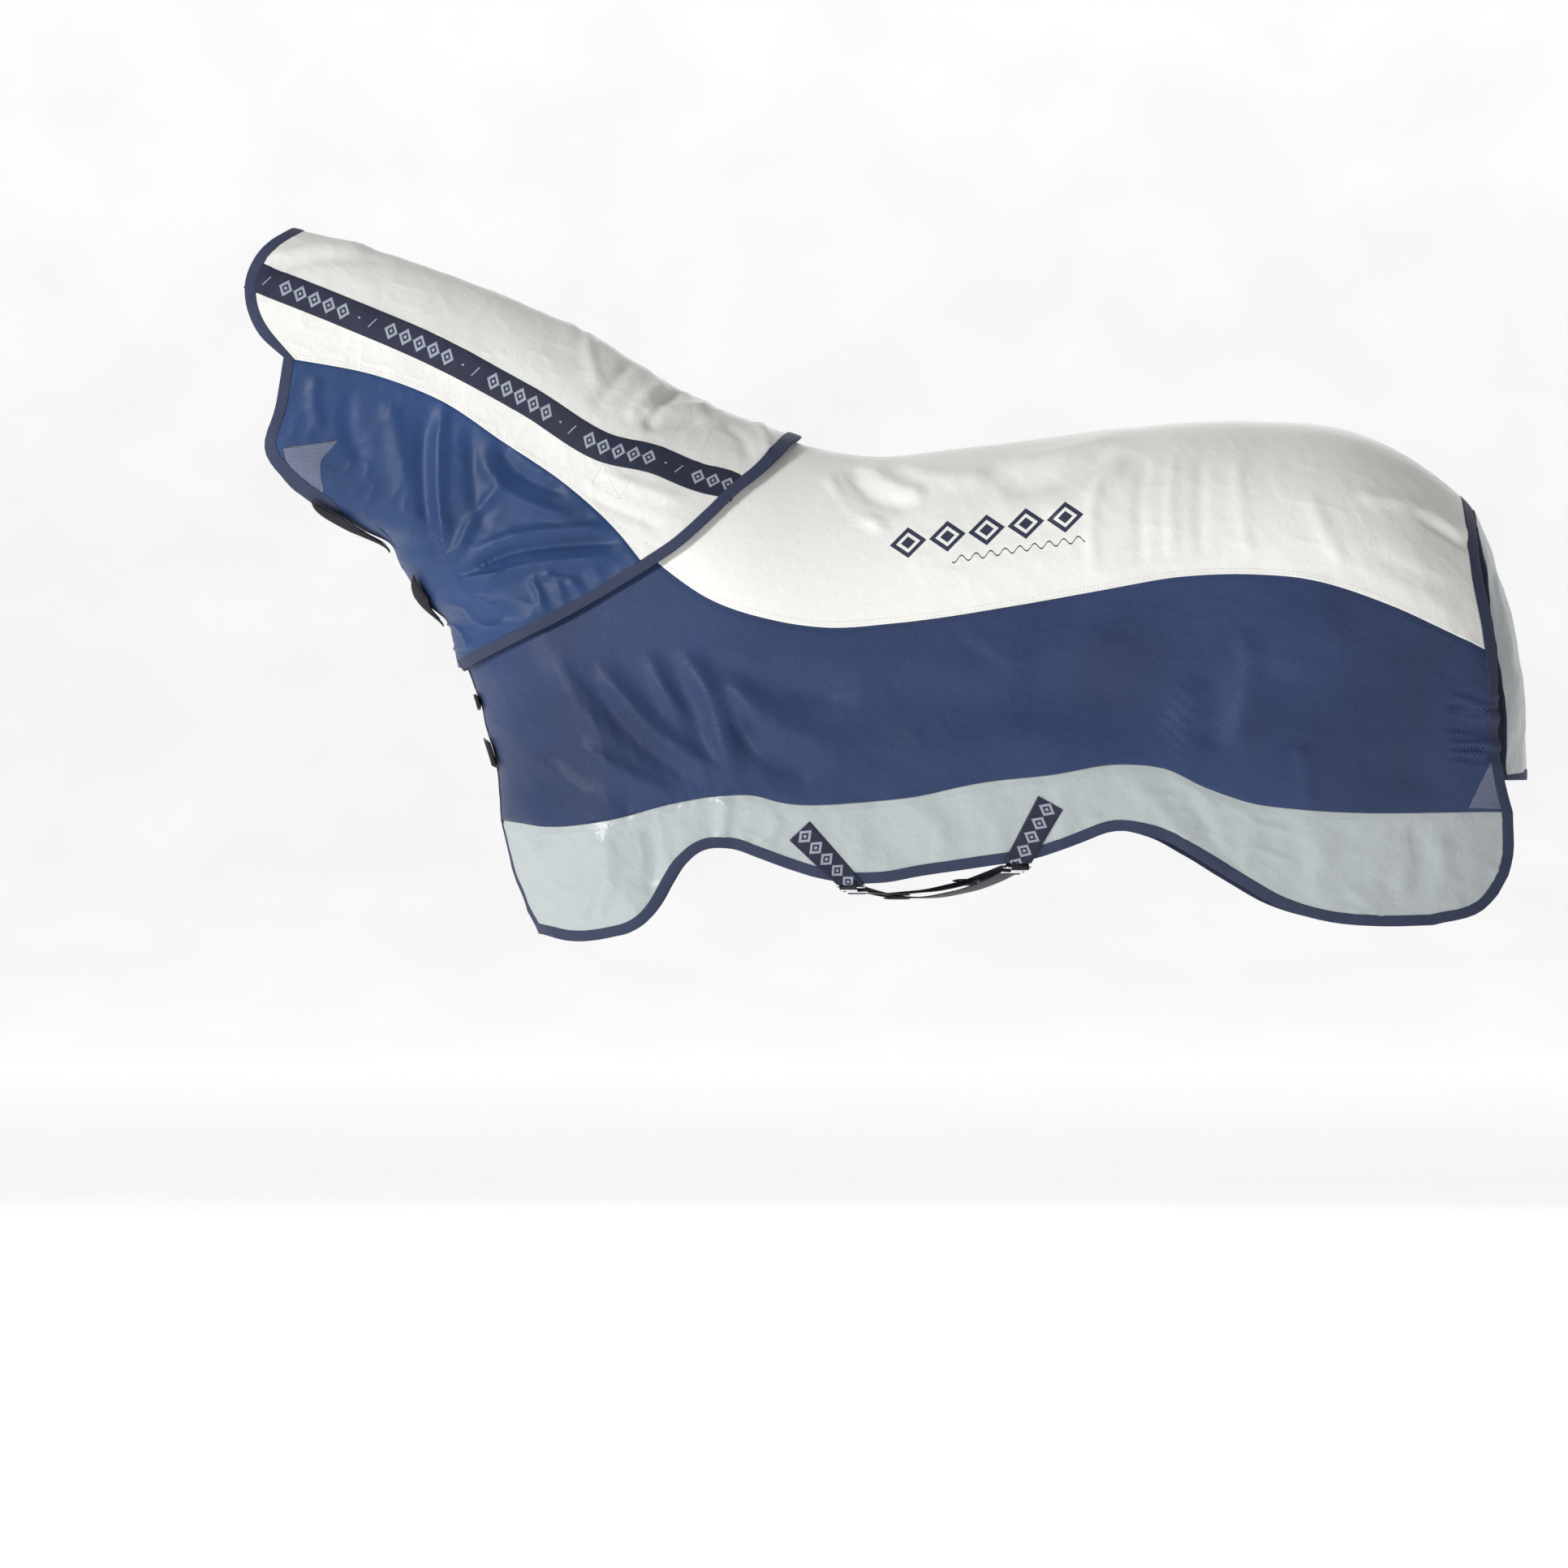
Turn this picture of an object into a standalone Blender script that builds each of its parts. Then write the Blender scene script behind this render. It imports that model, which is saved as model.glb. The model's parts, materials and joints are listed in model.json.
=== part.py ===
"""Turnout rug with a neck cover, as it lies on a standing horse.

+X runs from the withers to the tail, +Z is up, and the horse's left side is -Y.
The origin is the topline at the withers. Sizes are in metres.
"""

import math

import bmesh
import bpy
import numpy as np
from mathutils import Vector

# ---------------------------------------------------------------- driving sizes
BODY_LENGTH = 1.19  # withers to the top of the tail
NECK_REACH = 0.95  # withers to the poll
SIDE_DEPTH = 0.86  # withers down to the lowest hem
HALF_WIDTH = 0.31  # widest half-width, at the barrel

CLOTH = 0.003  # thickness of a panel and its seam allowance
BINDING_WIDTH = 0.020
BINDING_THICKNESS = 0.004
LAYER_GAP = 0.0015  # air between a panel and what is sewn on it
STRAP_CLEARANCE = 0.0035  # extra air under the closures, which bridge the bindings
HOOK_PATCH_DROP = 0.0045  # the cover's inner patches hang this far under it
COVER_LIFT = 0.0125  # the neck cover lies this far outside the body rug
FRONT_GAP = 0.004  # half the slit between the left and right fronts

TAPE_WIDTH = 0.050
TAPE_THICKNESS = 0.0016
PATCH_THICKNESS = 0.0014
STRAP_THICKNESS = 0.0030

BELLY_STRAP_WIDTH = 0.038
BELLY_STRAP_SAG = 0.020
CROSSING_GAP = 0.014  # how much lower the front surcingle crosses than the rear one
PLATE_SIZE = (0.052, 0.026)  # along and across the keeper
PLATE_THICKNESS = 0.003
PLATE_SLOT = (0.036, 0.009)
HOOK_TONGUE = (0.026, 0.003)  # width and thickness
HOOK_RISE = 0.012
SLIDER_WALL = 0.0035
SLIDER_GAP = 0.0015
SLIDER_LENGTH = 0.030

FLAP_HALF_WIDTH = (0.115, 0.175)  # at the top and at the bottom
FLAP_BULGE = 0.045
FLAP_GAP = 0.006

# The pattern below is drawn for these sizes, and sized() fits it to the driving ones.
DRAWN_LENGTH = 1.19
DRAWN_REACH = 0.95
DRAWN_DEPTH = 0.86

# Air between sewn neighbours. A shallower rug turns under more sharply at the hem, so it needs more.
SEAM_GAP = 0.0020 * max(1.0, DRAWN_DEPTH / SIDE_DEPTH) ** 3


def sized(points):
    """Fits drawn (x, z) points to the driving sizes."""
    points = np.asarray(points, float)
    x, z = points[..., 0], points[..., 1]
    stretch = np.where(x > 0, BODY_LENGTH / DRAWN_LENGTH, NECK_REACH / DRAWN_REACH)
    return np.stack([x * stretch, z * SIDE_DEPTH / DRAWN_DEPTH], axis=-1)


def smooth(at, knots, values):
    """Cubic through (knot, value) pairs, with the slope of their neighbours at each knot."""
    knots, values = np.asarray(knots, float), np.asarray(values, float)
    at = np.clip(at, knots[0], knots[-1])
    slope = np.gradient(values, knots)
    i = np.clip(np.searchsorted(knots, at) - 1, 0, len(knots) - 2)
    step = knots[i + 1] - knots[i]
    t = (at - knots[i]) / step
    start = (2 * t**3 - 3 * t**2 + 1) * values[i] + (t**3 - 2 * t**2 + t) * step * slope[i]
    end = (3 * t**2 - 2 * t**3) * values[i + 1] + (t**3 - t**2) * step * slope[i + 1]
    return start + end


def path(points, fractions):
    """Points at these fractions of the length of a smooth curve through the given ones."""
    points = np.asarray(points, float)
    chords = np.linalg.norm(np.diff(points, axis=0), axis=1)
    knots = np.concatenate([[0], np.cumsum(chords)])
    fine = np.linspace(0, knots[-1], 400)
    curve = np.stack([smooth(fine, knots, points[:, k]) for k in range(points.shape[1])], axis=1)
    steps = np.linalg.norm(np.diff(curve, axis=0), axis=1)
    length = np.concatenate([[0], np.cumsum(steps)])
    at = np.asarray(fractions) * length[-1]
    return np.stack([np.interp(at, length, curve[:, k]) for k in range(points.shape[1])], axis=1)


# ---------------------------------------------------------------- outlines in side view, (x, z)
TOPLINE = sized([
    (-1.02, 0.405), (-0.942, 0.383), (-0.803, 0.347), (-0.642, 0.292), (-0.511, 0.241),
    (-0.387, 0.183), (-0.234, 0.088), (-0.12, 0.040), (0, 0), (0.10, -0.016), (0.292, 0.0),
    (0.584, 0.036), (0.80, 0.047), (0.993, 0.022), (1.095, -0.029), (1.19, -0.11), (1.26, -0.21),
])
CHEST_LINE = sized([
    (-0.499, -0.876), (-0.5256, -0.803), (-0.552, -0.708), (-0.559, -0.672), (-0.5665, -0.569),
    (-0.584, -0.511), (-0.5957, -0.4526), (-0.6205, -0.397), (-0.634, -0.35), (-0.650, -0.302),
    (-0.686, -0.270), (-0.730, -0.204), (-0.7665, -0.153), (-0.835, -0.125), (-0.945, -0.08),
    (-1.03, -0.02), (-1.10, 0.06), (-1.25, 0.45),
])
HEM = sized([
    (-0.438, -0.888), (-0.365, -0.883), (-0.307, -0.864), (-0.27, -0.822), (-0.238, -0.765),
    (-0.204, -0.73), (-0.168, -0.72), (-0.102, -0.737), (0, -0.772), (0.0876, -0.785),
    (0.219, -0.767), (0.35, -0.7475), (0.438, -0.73), (0.504, -0.70), (0.569, -0.689),
    (0.642, -0.715), (0.73, -0.7665), (0.847, -0.832), (0.949, -0.8575), (1.051, -0.861),
    (1.11, -0.8595),
])
REAR_CORNER = sized([
    (1.11, -0.8595), (1.160, -0.851), (1.2045, -0.830), (1.240, -0.785), (1.257, -0.73),
    (1.254, -0.657),
])
REAR_EDGE = sized([
    (1.254, -0.657), (1.238, -0.599), (1.229, -0.511), (1.2235, -0.365), (1.197, -0.219),
    (1.190, -0.11),
])
UPPER_SEAM = sized([
    (-0.36, -0.130), (-0.248, -0.2336), (-0.19, -0.273), (-0.073, -0.314), (0.029, -0.3285),
    (0.146, -0.321), (0.365, -0.289), (0.511, -0.263), (0.657, -0.238), (0.788, -0.2336),
    (0.876, -0.241), (1.022, -0.2847), (1.153, -0.343), (1.2235, -0.3767),
])
LOWER_SEAM = sized([
    (-0.559, -0.672), (-0.467, -0.683), (-0.365, -0.672), (-0.248, -0.642), (-0.161, -0.628),
    (-0.102, -0.628), (-0.0584, -0.6395), (0.0876, -0.6395), (0.19, -0.628), (0.292, -0.606),
    (0.423, -0.591), (0.555, -0.572), (0.628, -0.580), (0.70, -0.613), (0.788, -0.642),
    (0.876, -0.6526), (1.254, -0.657),
])
NECKLINE_UPPER = sized([(-0.13, 0.0435), (-0.24, -0.02), (-0.31, -0.082), (-0.36, -0.130)])
NECKLINE_LOWER = sized([(-0.36, -0.130), (-0.45, -0.195), (-0.54, -0.247), (-0.645, -0.305)])
COVER_FRONT_UPPER = sized([
    (-0.942, 0.383), (-0.985, 0.358), (-1.016, 0.314), (-1.019, 0.263), (-0.996, 0.204),
    (-0.950, 0.160),
])
COVER_FRONT_LOWER = sized([
    (-0.950, 0.160), (-0.946, 0.117), (-0.956, 0.088), (-0.978, 0.051), (-0.981, 0.007),
    (-0.960, -0.031), (-0.918, -0.072), (-0.845, -0.118),
])
COVER_SEAM = sized([
    (-0.950, 0.160), (-0.774, 0.124), (-0.664, 0.080), (-0.555, 0.007), (-0.438, -0.073),
    (-0.350, -0.153), (-0.292, -0.226),
])
COVER_REAR_UPPER = sized([
    (-0.022, 0.0095), (-0.073, -0.044), (-0.139, -0.098), (-0.219, -0.175), (-0.292, -0.226),
])
COVER_REAR_LOWER = sized([
    (-0.292, -0.226), (-0.438, -0.312), (-0.5475, -0.365), (-0.6135, -0.397),
])
TAPE_LINE = sized([
    (-0.960, 0.286), (-0.85, 0.243), (-0.67, 0.165), (-0.511, 0.079), (-0.36, -0.012),
    (-0.293, -0.029), (-0.20, -0.067), (-0.150, -0.080),
])

# ---------------------------------------------------------------- the body under the cloth
GIRTH_STATION = np.array([-1.05, -0.93, -0.70, -0.50, -0.25, 0.0, 0.20, 0.40, 0.70, 1.6])
GIRTH_SHARE = np.array([0.28, 0.30, 0.34, 0.40, 0.55, 0.75, 0.87, 0.955, 1.0, 1.0])
REAR_STATION = np.array([0.60, 0.80, 0.95, 1.08, 1.19, 1.27])
REAR_SHARE = np.array([1.0, 0.985, 0.955, 0.88, 0.74, 0.60])
SHOULDER_STATION = np.array([-0.95, -0.50, -0.25, 0.0, 0.30, 0.60, 0.90, 1.25])
SHOULDER_DEPTH = np.array([0.15, 0.17, 0.27, 0.38, 0.31, 0.27, 0.25, 0.30])
CHEST_ROUND_STATION = np.array([-0.90, -0.60, -0.40, -0.13, 0.1])
CHEST_ROUND = np.array([0.22, 0.22, 0.18, 0.12, 0.12])
TUCK_SHARE = 0.10
TUCK_START = 0.52
TUCK_DEPTH = 0.36


def topline(x):
    return smooth(x, TOPLINE[:, 0], TOPLINE[:, 1])


def chest_line(z):
    return smooth(z, CHEST_LINE[:, 1], CHEST_LINE[:, 0])


def chest_round(z):
    return smooth(z, CHEST_ROUND_STATION, CHEST_ROUND) * NECK_REACH / DRAWN_REACH


def side_width(x, z):
    """Half-width at (x, z) before the chest rounds it off: girth x rear taper x topline round x tuck."""
    along = np.where(x > 0, x * DRAWN_LENGTH / BODY_LENGTH, x * DRAWN_REACH / NECK_REACH)
    down = z * DRAWN_DEPTH / SIDE_DEPTH
    girth = smooth((along - down) / math.sqrt(2), GIRTH_STATION, GIRTH_SHARE)
    rear = smooth(along, REAR_STATION, REAR_SHARE)
    round_depth = smooth(along, SHOULDER_STATION, SHOULDER_DEPTH) * SIDE_DEPTH / DRAWN_DEPTH
    over = 1 - np.clip((topline(x) - z) / round_depth, 0, 1)
    low = np.clip((-down - TUCK_START) / TUCK_DEPTH, 0, 1)
    tuck = 1 - TUCK_SHARE * low**2 * (3 - 2 * low)
    return HALF_WIDTH * girth * rear * np.sqrt(1 - over**2) * tuck


def half_width(x, z):
    over = 1 - np.clip((x - chest_line(z)) / chest_round(z), 0, 1)
    return side_width(x, z) * np.sqrt(1 - over**2)


def front_x(z, y):
    """Where the chest has this half-width at height z, found by stepping in from the chest line."""
    x = chest_line(z)
    for _ in range(12):
        share = np.clip(y / np.maximum(side_width(x + 0.01, z), 1e-4), 0, 0.99)
        x = chest_line(z) + chest_round(z) * (1 - np.sqrt(1 - share**2))
    return x


def on_body(xz, side):
    """Side-view points put on the surface, on the left for side -1 and on the right for +1."""
    x, z = xz[..., 0], xz[..., 1]
    return np.stack([x, side * half_width(x, z), z], axis=-1)


def normals(grid):
    """Unit normals of y^2 = half_width(x, z)^2 at the points of a grid, pointing away from the horse."""
    x, y, z = grid[..., 0], grid[..., 1], grid[..., 2]
    step = 0.002
    slope_x = (half_width(x + step, z) ** 2 - half_width(x - step, z) ** 2) / (2 * step)
    slope_z = (half_width(x, z + step) ** 2 - half_width(x, z - step) ** 2) / (2 * step)
    outward = np.stack([-slope_x, 2 * y, -slope_z], axis=-1)
    return outward / np.linalg.norm(outward, axis=-1, keepdims=True)


def patch(top, bottom, left, right, across, down):
    """Fills four boundary curves by adding the two ruled surfaces and taking off the bilinear one."""
    u, w = across[:, None, None], down[None, :, None]
    ruled = (1 - w) * top[:, None] + w * bottom[:, None]
    sides = (1 - u) * left[None] + u * right[None]
    corners = (1 - u) * ((1 - w) * top[0] + w * bottom[0]) + u * ((1 - w) * top[-1] + w * bottom[-1])
    return ruled + sides - corners


# ---------------------------------------------------------------- making objects
NAVY = (0.030, 0.062, 0.160)
WHITE = (0.80, 0.80, 0.77)
SILVER = (0.50, 0.54, 0.54)
TRIM = (0.030, 0.040, 0.090)
BLACK = (0.018, 0.020, 0.030)
STEEL = (0.60, 0.60, 0.62)


def collection_named(name):
    found = bpy.data.collections.new(name)
    bpy.context.scene.collection.children.link(found)
    return found


def finish(name, colour, roughness=0.8, metallic=0.0):
    material = bpy.data.materials.new(name)
    material.use_nodes = True
    shader = material.node_tree.nodes["Principled BSDF"]
    shader.inputs["Base Color"].default_value = (*colour, 1)
    shader.inputs["Roughness"].default_value = roughness
    shader.inputs["Metallic"].default_value = metallic
    return material


def add_mesh(name, bm, colour, pivot=(0, 0, 0), roughness=0.8, metallic=0.0):
    """A named object whose origin is at pivot; bm holds world positions."""
    bmesh.ops.translate(bm, verts=bm.verts, vec=-Vector(pivot))
    mesh = bpy.data.meshes.new(name)
    bm.to_mesh(mesh)
    bm.free()
    obj = bpy.data.objects.new(name, mesh)
    obj.location = pivot
    mesh.materials.append(finish(name, colour, roughness, metallic))
    RUG.objects.link(obj)
    return obj


def add_sheet(name, grid, outward, thickness, colour, pivot):
    """A sheet on a grid of points, thickened towards outward."""
    facing = np.cross(grid[1, 0] - grid[0, 0], grid[0, 1] - grid[0, 0])
    if facing @ outward < 0:
        grid = grid[::-1]
    columns, rows = grid.shape[:2]
    bm = bmesh.new()
    bmesh.ops.create_grid(bm, x_segments=columns - 1, y_segments=rows - 1, size=1)
    for vertex, point in zip(bm.verts, grid.transpose(1, 0, 2).reshape(-1, 3)):
        vertex.co = point
    bm.normal_update()
    obj = add_mesh(name, bm, colour, pivot)
    obj.data.shade_smooth()
    wall = obj.modifiers.new("cloth", "SOLIDIFY")
    wall.thickness = thickness
    wall.offset = 1


def add_cloth(name, grid, thickness, colour, lift=0.0, pivot=(0, 0, 0)):
    """A sheet on the horse's surface, lifted off it along the surface's normals."""
    outward = normals(grid)
    add_sheet(name, grid + lift * outward, outward[0, 0], thickness, colour, pivot)


def mirrored(grid):
    return grid * np.array([1, -1, 1])


def both_sides(half):
    """Joins a left half whose first row is on the topline to its mirror image."""
    return np.concatenate([half[:, ::-1], mirrored(half)[:, 1:]], axis=1)


SIDES = {"left": -1, "right": 1}

# ---------------------------------------------------------------- stations shared by neighbours
COLUMNS = 31
ROW_POWER = 1.5  # crowds the rows towards the topline, where the cloth bends most
FRONT_CROWDING = 0.66  # how much closer the columns stand at the chest
TOP_ROWS = 8
MESH_ROWS = 10
NECKLINE_ROWS = 4
LOWER_ROWS = 4
COVER_COLUMNS = 17
COVER_TOP_ROWS = 8
COVER_MESH_ROWS = 7
EDGE_OPENING = 0.085  # half-width of the parted fronts at the hem


def crowded(count):
    s = np.linspace(0, 1, count)
    return s * (1 - FRONT_CROWDING) + FRONT_CROWDING * s**2


def inset(points, towards, width):
    """Moves a row of side-view points by width, square to the row, towards a given point."""
    along = np.gradient(points, axis=0)
    along /= np.linalg.norm(along, axis=1, keepdims=True)
    square = np.stack([-along[:, 1], along[:, 0]], axis=1)
    turn = np.sign(((np.asarray(towards) - points) * square).sum(axis=1).mean())
    return points + width * turn * square


def slid(points, distance):
    """Moves points along the back and keeps their depth below the topline."""
    x = points[:, 0] + distance
    return np.stack([x, points[:, 1] + topline(x) - topline(points[:, 0])], axis=1)


TURN_DEPTH = 0.12  # below the topline, where an inset edge stops sliding along the back


def edge_inset(points, towards, distance, width):
    """Slides along the back close to the topline, and moves square to the edge further down."""
    depth = np.clip((topline(points[:, 0]) - points[:, 1]) / TURN_DEPTH, 0, 1)[:, None]
    share = depth**2 * (3 - 2 * depth)
    moved = (1 - share) * slid(points, distance) + share * inset(points, towards, width)
    low = front_x(moved[:, 1], np.full(len(moved), FRONT_GAP))
    moved[:, 0] = np.maximum(moved[:, 0], low)
    moved[:, 1] = np.minimum(moved[:, 1], topline(moved[:, 0]))
    return moved


def chest_edge(z, width):
    """The left front edge, this far from the slit; the fronts part below the lower seam."""
    low = np.clip((LOWER_SEAM[0, 1] - z) / (LOWER_SEAM[0, 1] - CHEST_LINE[0, 1]), 0, 1)
    y = FRONT_GAP + width + (EDGE_OPENING - FRONT_GAP) * low
    return np.stack([front_x(z, y), z], axis=1)


BELLY_MIDDLE = sized((0.3, -0.45))  # the point that the body rug's edges are inset towards
NECK_MIDDLE = sized((-0.6, 0.0))  # and the same for the neck cover
REAR_SPLIT = 0.52  # the share of the rear edge that is below the upper seam
NECK_TURN = 0.75  # how much an edge across the neck closes up where it turns over the crest


class Stations:
    """Where the body rug's panels and bindings meet, as rows of side-view points."""

    def __init__(self, width):
        """width is the distance in from the finished edge."""
        middle = BELLY_MIDDLE
        across = crowded(COLUMNS)
        fine = np.linspace(0, 1, LOWER_ROWS)
        self.hem = inset(path(self.hem_points(), across), middle, width)
        self.corner = inset(path(REAR_CORNER, fine), middle, width)
        self.hem[-1] = self.corner[0]
        self.rear_middle = inset(path(REAR_EDGE, np.linspace(0, REAR_SPLIT, MESH_ROWS)), middle, width)
        self.rear_middle[0] = self.corner[-1]
        down = 1 - np.linspace(1, 0, TOP_ROWS) ** ROW_POWER
        top_fractions = REAR_SPLIT + (1 - REAR_SPLIT) * down
        top = path(REAR_EDGE, top_fractions)
        self.rear_top = edge_inset(top, middle, -width, width)
        self.rear_top[0] = self.rear_middle[-1]
        z_low = np.linspace(LOWER_SEAM[0, 1], self.hem[0, 1], LOWER_ROWS)
        self.front_low = chest_edge(z_low, width)
        self.hem[0] = self.front_low[-1]
        z_high = np.linspace(NECKLINE_LOWER[-1, 1], LOWER_SEAM[0, 1], MESH_ROWS - NECKLINE_ROWS + 1)
        self.front_high = chest_edge(z_high, width)
        neck_low = path(NECKLINE_LOWER, np.linspace(0, 1, NECKLINE_ROWS))
        self.neck_low = edge_inset(neck_low, middle, width, width)
        self.neck_low[-1] = self.front_high[0]
        shares = np.linspace(0, 1, TOP_ROWS) ** ROW_POWER
        self.neck_high = edge_inset(path(NECKLINE_UPPER, shares), middle, width / NECK_TURN, width)
        self.neck_high[-1] = self.neck_low[0]

    def hem_points(self):
        start = chest_edge(CHEST_LINE[:1, 1], 0)
        return np.concatenate([start, HEM])


def seam(points, start, end, gap):
    """A seam from one edge station to another, moved down by gap."""
    row = path(np.concatenate([[start], points[1:-1], [end]]), crowded(COLUMNS))
    return row + np.array([0, -gap])


def body_panels():
    at = Stations(BINDING_WIDTH + SEAM_GAP)
    across = crowded(COLUMNS)
    top_down = np.linspace(0, 1, TOP_ROWS) ** ROW_POWER
    start, end = at.neck_high[0], at.rear_top[-1]
    x = start[0] + (end[0] - start[0]) * across
    crest = np.stack([x, topline(x)], axis=1)
    upper = seam(UPPER_SEAM, at.neck_high[-1], at.rear_top[0], 0)
    back = patch(crest, upper, at.neck_high, at.rear_top[::-1], across, top_down)
    add_cloth("back_panel", both_sides(on_body(back, -1)), CLOTH, WHITE)

    lower = seam(LOWER_SEAM, at.front_high[-1], at.corner[-1], 0)
    left = np.concatenate([at.neck_low, at.front_high[1:]])
    rows = np.linspace(0, 1, MESH_ROWS)
    drop = np.array([0, -SEAM_GAP])
    side = patch(upper + drop, lower, np.concatenate([[left[0] + drop], left[1:]]),
                 np.concatenate([[at.rear_middle[-1] + drop], at.rear_middle[-2::-1]]), across, rows)
    low_rows = np.linspace(0, 1, LOWER_ROWS)
    skirt_top = lower + drop
    skirt_top[0] = chest_edge(skirt_top[:1, 1], BINDING_WIDTH + SEAM_GAP)[0]
    skirt = patch(skirt_top, at.hem, np.concatenate([skirt_top[:1], at.front_low[1:]]),
                  np.concatenate([skirt_top[-1:], at.corner[-2::-1]]), across, low_rows)
    for name, side_sign in SIDES.items():
        add_cloth(f"{name}_side_mesh", on_body(side, side_sign), CLOTH, NAVY)
        add_cloth(f"{name}_lower_panel", on_body(skirt, side_sign), CLOTH, SILVER)


def body_bindings():
    outer, inner = Stations(0.0), Stations(BINDING_WIDTH)

    def edge(at):
        rear = np.concatenate([at.corner[1:], at.rear_middle[1:], at.rear_top[1:-1]])
        return np.concatenate([at.front_high, at.front_low[1:], at.hem[1:], rear])

    strip = np.stack([edge(outer), edge(inner)], axis=1)
    for name, side in SIDES.items():
        add_cloth(f"{name}_edge_binding", on_body(strip, side), BINDING_THICKNESS, TRIM)

    def neckline(at):
        return np.concatenate([at.neck_high, at.neck_low[1:-1]])

    half = np.stack([neckline(outer), neckline(inner)], axis=0)
    add_cloth("neckline_binding", both_sides(on_body(half, -1)), BINDING_THICKNESS, TRIM)


def small_patch(name, centre, size, angle, lift, thickness, colour, side, pivot=(0, 0, 0), cells=(3, 3)):
    """A rectangle laid on the body at a side-view centre, turned by angle in that view."""
    u = np.linspace(-size[0] / 2, size[0] / 2, cells[0])[:, None]
    v = np.linspace(-size[1] / 2, size[1] / 2, cells[1])[None]
    x = centre[0] + u * math.cos(angle) - v * math.sin(angle)
    z = centre[1] + u * math.sin(angle) + v * math.cos(angle)
    grid = on_body(np.stack([x, z], axis=-1), side)
    return add_cloth(name, grid, thickness, colour, lift, pivot)


VENT_SIZE = (0.034, 0.062)
VENT_PLACE = sized((1.197, -0.612))
ELASTIC_SIZE = (0.016, 0.090)
ELASTIC_PLACE = sized((1.190, -0.505))
WITHER_PATCH = (0.060, 0.045)
WITHER_PLACE = sized((-0.160, -0.055))


def body_trim():
    for name, side in SIDES.items():
        over = CLOTH + LAYER_GAP
        small_patch(f"{name}_rear_vent", VENT_PLACE, VENT_SIZE, 0, over, PATCH_THICKNESS, SILVER, side)
        under = -LAYER_GAP - PATCH_THICKNESS
        small_patch(f"{name}_rear_elastic", ELASTIC_PLACE, ELASTIC_SIZE, 0, under - 0.003,
                    PATCH_THICKNESS, NAVY, side)
        small_patch(f"{name}_wither_loop", WITHER_PLACE, WITHER_PATCH, 0.6, over, PATCH_THICKNESS,
                    TRIM, side)


# ---------------------------------------------------------------- belly straps
TAB_WIDTH = 0.050
TAB_THICKNESS = 0.0025
TAB_OVERHANG = 0.003  # the tabs end this far below the hem
FRONT_TAB_TOP = sized((-0.022, -0.690))
FRONT_TAB_END = sized((0.070, -0.779))
REAR_TAB_TOP = sized((0.425, -0.640))
REAR_TAB_END = sized((0.366, -0.740))


def hem_height(x):
    points = np.concatenate([[HEM[0] - np.array([0.1, 0])], HEM])
    return smooth(x, points[:, 0], points[:, 1])


def tab(name, top, end, side):
    """Webbing sewn on the lower panel, over the hem binding, cut level just below the hem."""
    end = np.array([end[0], hem_height(end[0]) - TAB_OVERHANG])
    direction = (end - top) / np.linalg.norm(end - top)
    square = np.array([-direction[1], direction[0]]) * TAB_WIDTH / 2
    level = np.array([math.copysign(TAB_WIDTH / 2, square[0]), 0])
    along = np.linspace(0, 1, 5)[:, None, None]
    across = np.linspace(-1, 1, 3)[None, :, None]
    grid = top + along * (end - top) + across * ((1 - along) * square + along * level)
    lift = BINDING_THICKNESS + LAYER_GAP
    add_cloth(name, on_body(grid, side), TAB_THICKNESS, TRIM, lift)


def tab_foot(end, side):
    """Where a belly strap meets the tab: just under the hem binding."""
    near = np.linspace(-1, 1, 9) * PLATE_SIZE[0] * 0.6
    z = hem_height(end[0] + near).min() - PLATE_DROP
    return np.array([end[0], side * (half_width(end[0], z) - FOOT_INSET), z])


def strap_frame(start, end):
    """Unit vectors along a belly strap in plan and square to it."""
    run = (end - start) * np.array([1, 1, 0])
    run /= np.linalg.norm(run)
    return run, np.array([-run[1], run[0], 0])


def strap_line(start, end, sag, fractions):
    """A shallow parabola from one foot to the other."""
    t = np.asarray(fractions)[:, None]
    drop = np.array([0, 0, -sag])
    return start + t * (end - start) + 4 * t * (1 - t) * drop


def box_between(bm, centre, run, square, size):
    """A box of this size (along, across, up) in bm, turned to run."""
    made = bmesh.ops.create_cube(bm, size=1)["verts"]
    up = np.cross(run, square)
    for vertex in made:
        local = np.array(vertex.co) * np.array(size)
        vertex.co = centre + local[0] * run + local[1] * square + local[2] * up
    return made


def strap_solid(name, start, end, sag, pivot):
    run, square = strap_frame(start, end)
    middle = strap_line(start, end, sag, np.linspace(0, 1, 15))
    across = np.linspace(-1, 1, 2)[None, :, None] * square * BELLY_STRAP_WIDTH / 2
    up = np.array([0, 0, 1.0])
    grid = middle[:, None] + across - up * STRAP_THICKNESS / 2
    add_sheet(name, grid, up, STRAP_THICKNESS, BLACK, pivot)


def helper_object(name, bm):
    """A hidden object for a Boolean."""
    mesh = bpy.data.meshes.new(name)
    bm.to_mesh(mesh)
    bm.free()
    obj = bpy.data.objects.new(name, mesh)
    obj.hide_render = True
    obj.display_type = "WIRE"
    CUTTERS.objects.link(obj)
    return obj


def boolean(obj, operation, name, bm):
    step = obj.modifiers.new(name, "BOOLEAN")
    step.operation = operation
    step.object = helper_object(f"{obj.name}_{name}", bm)


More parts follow.
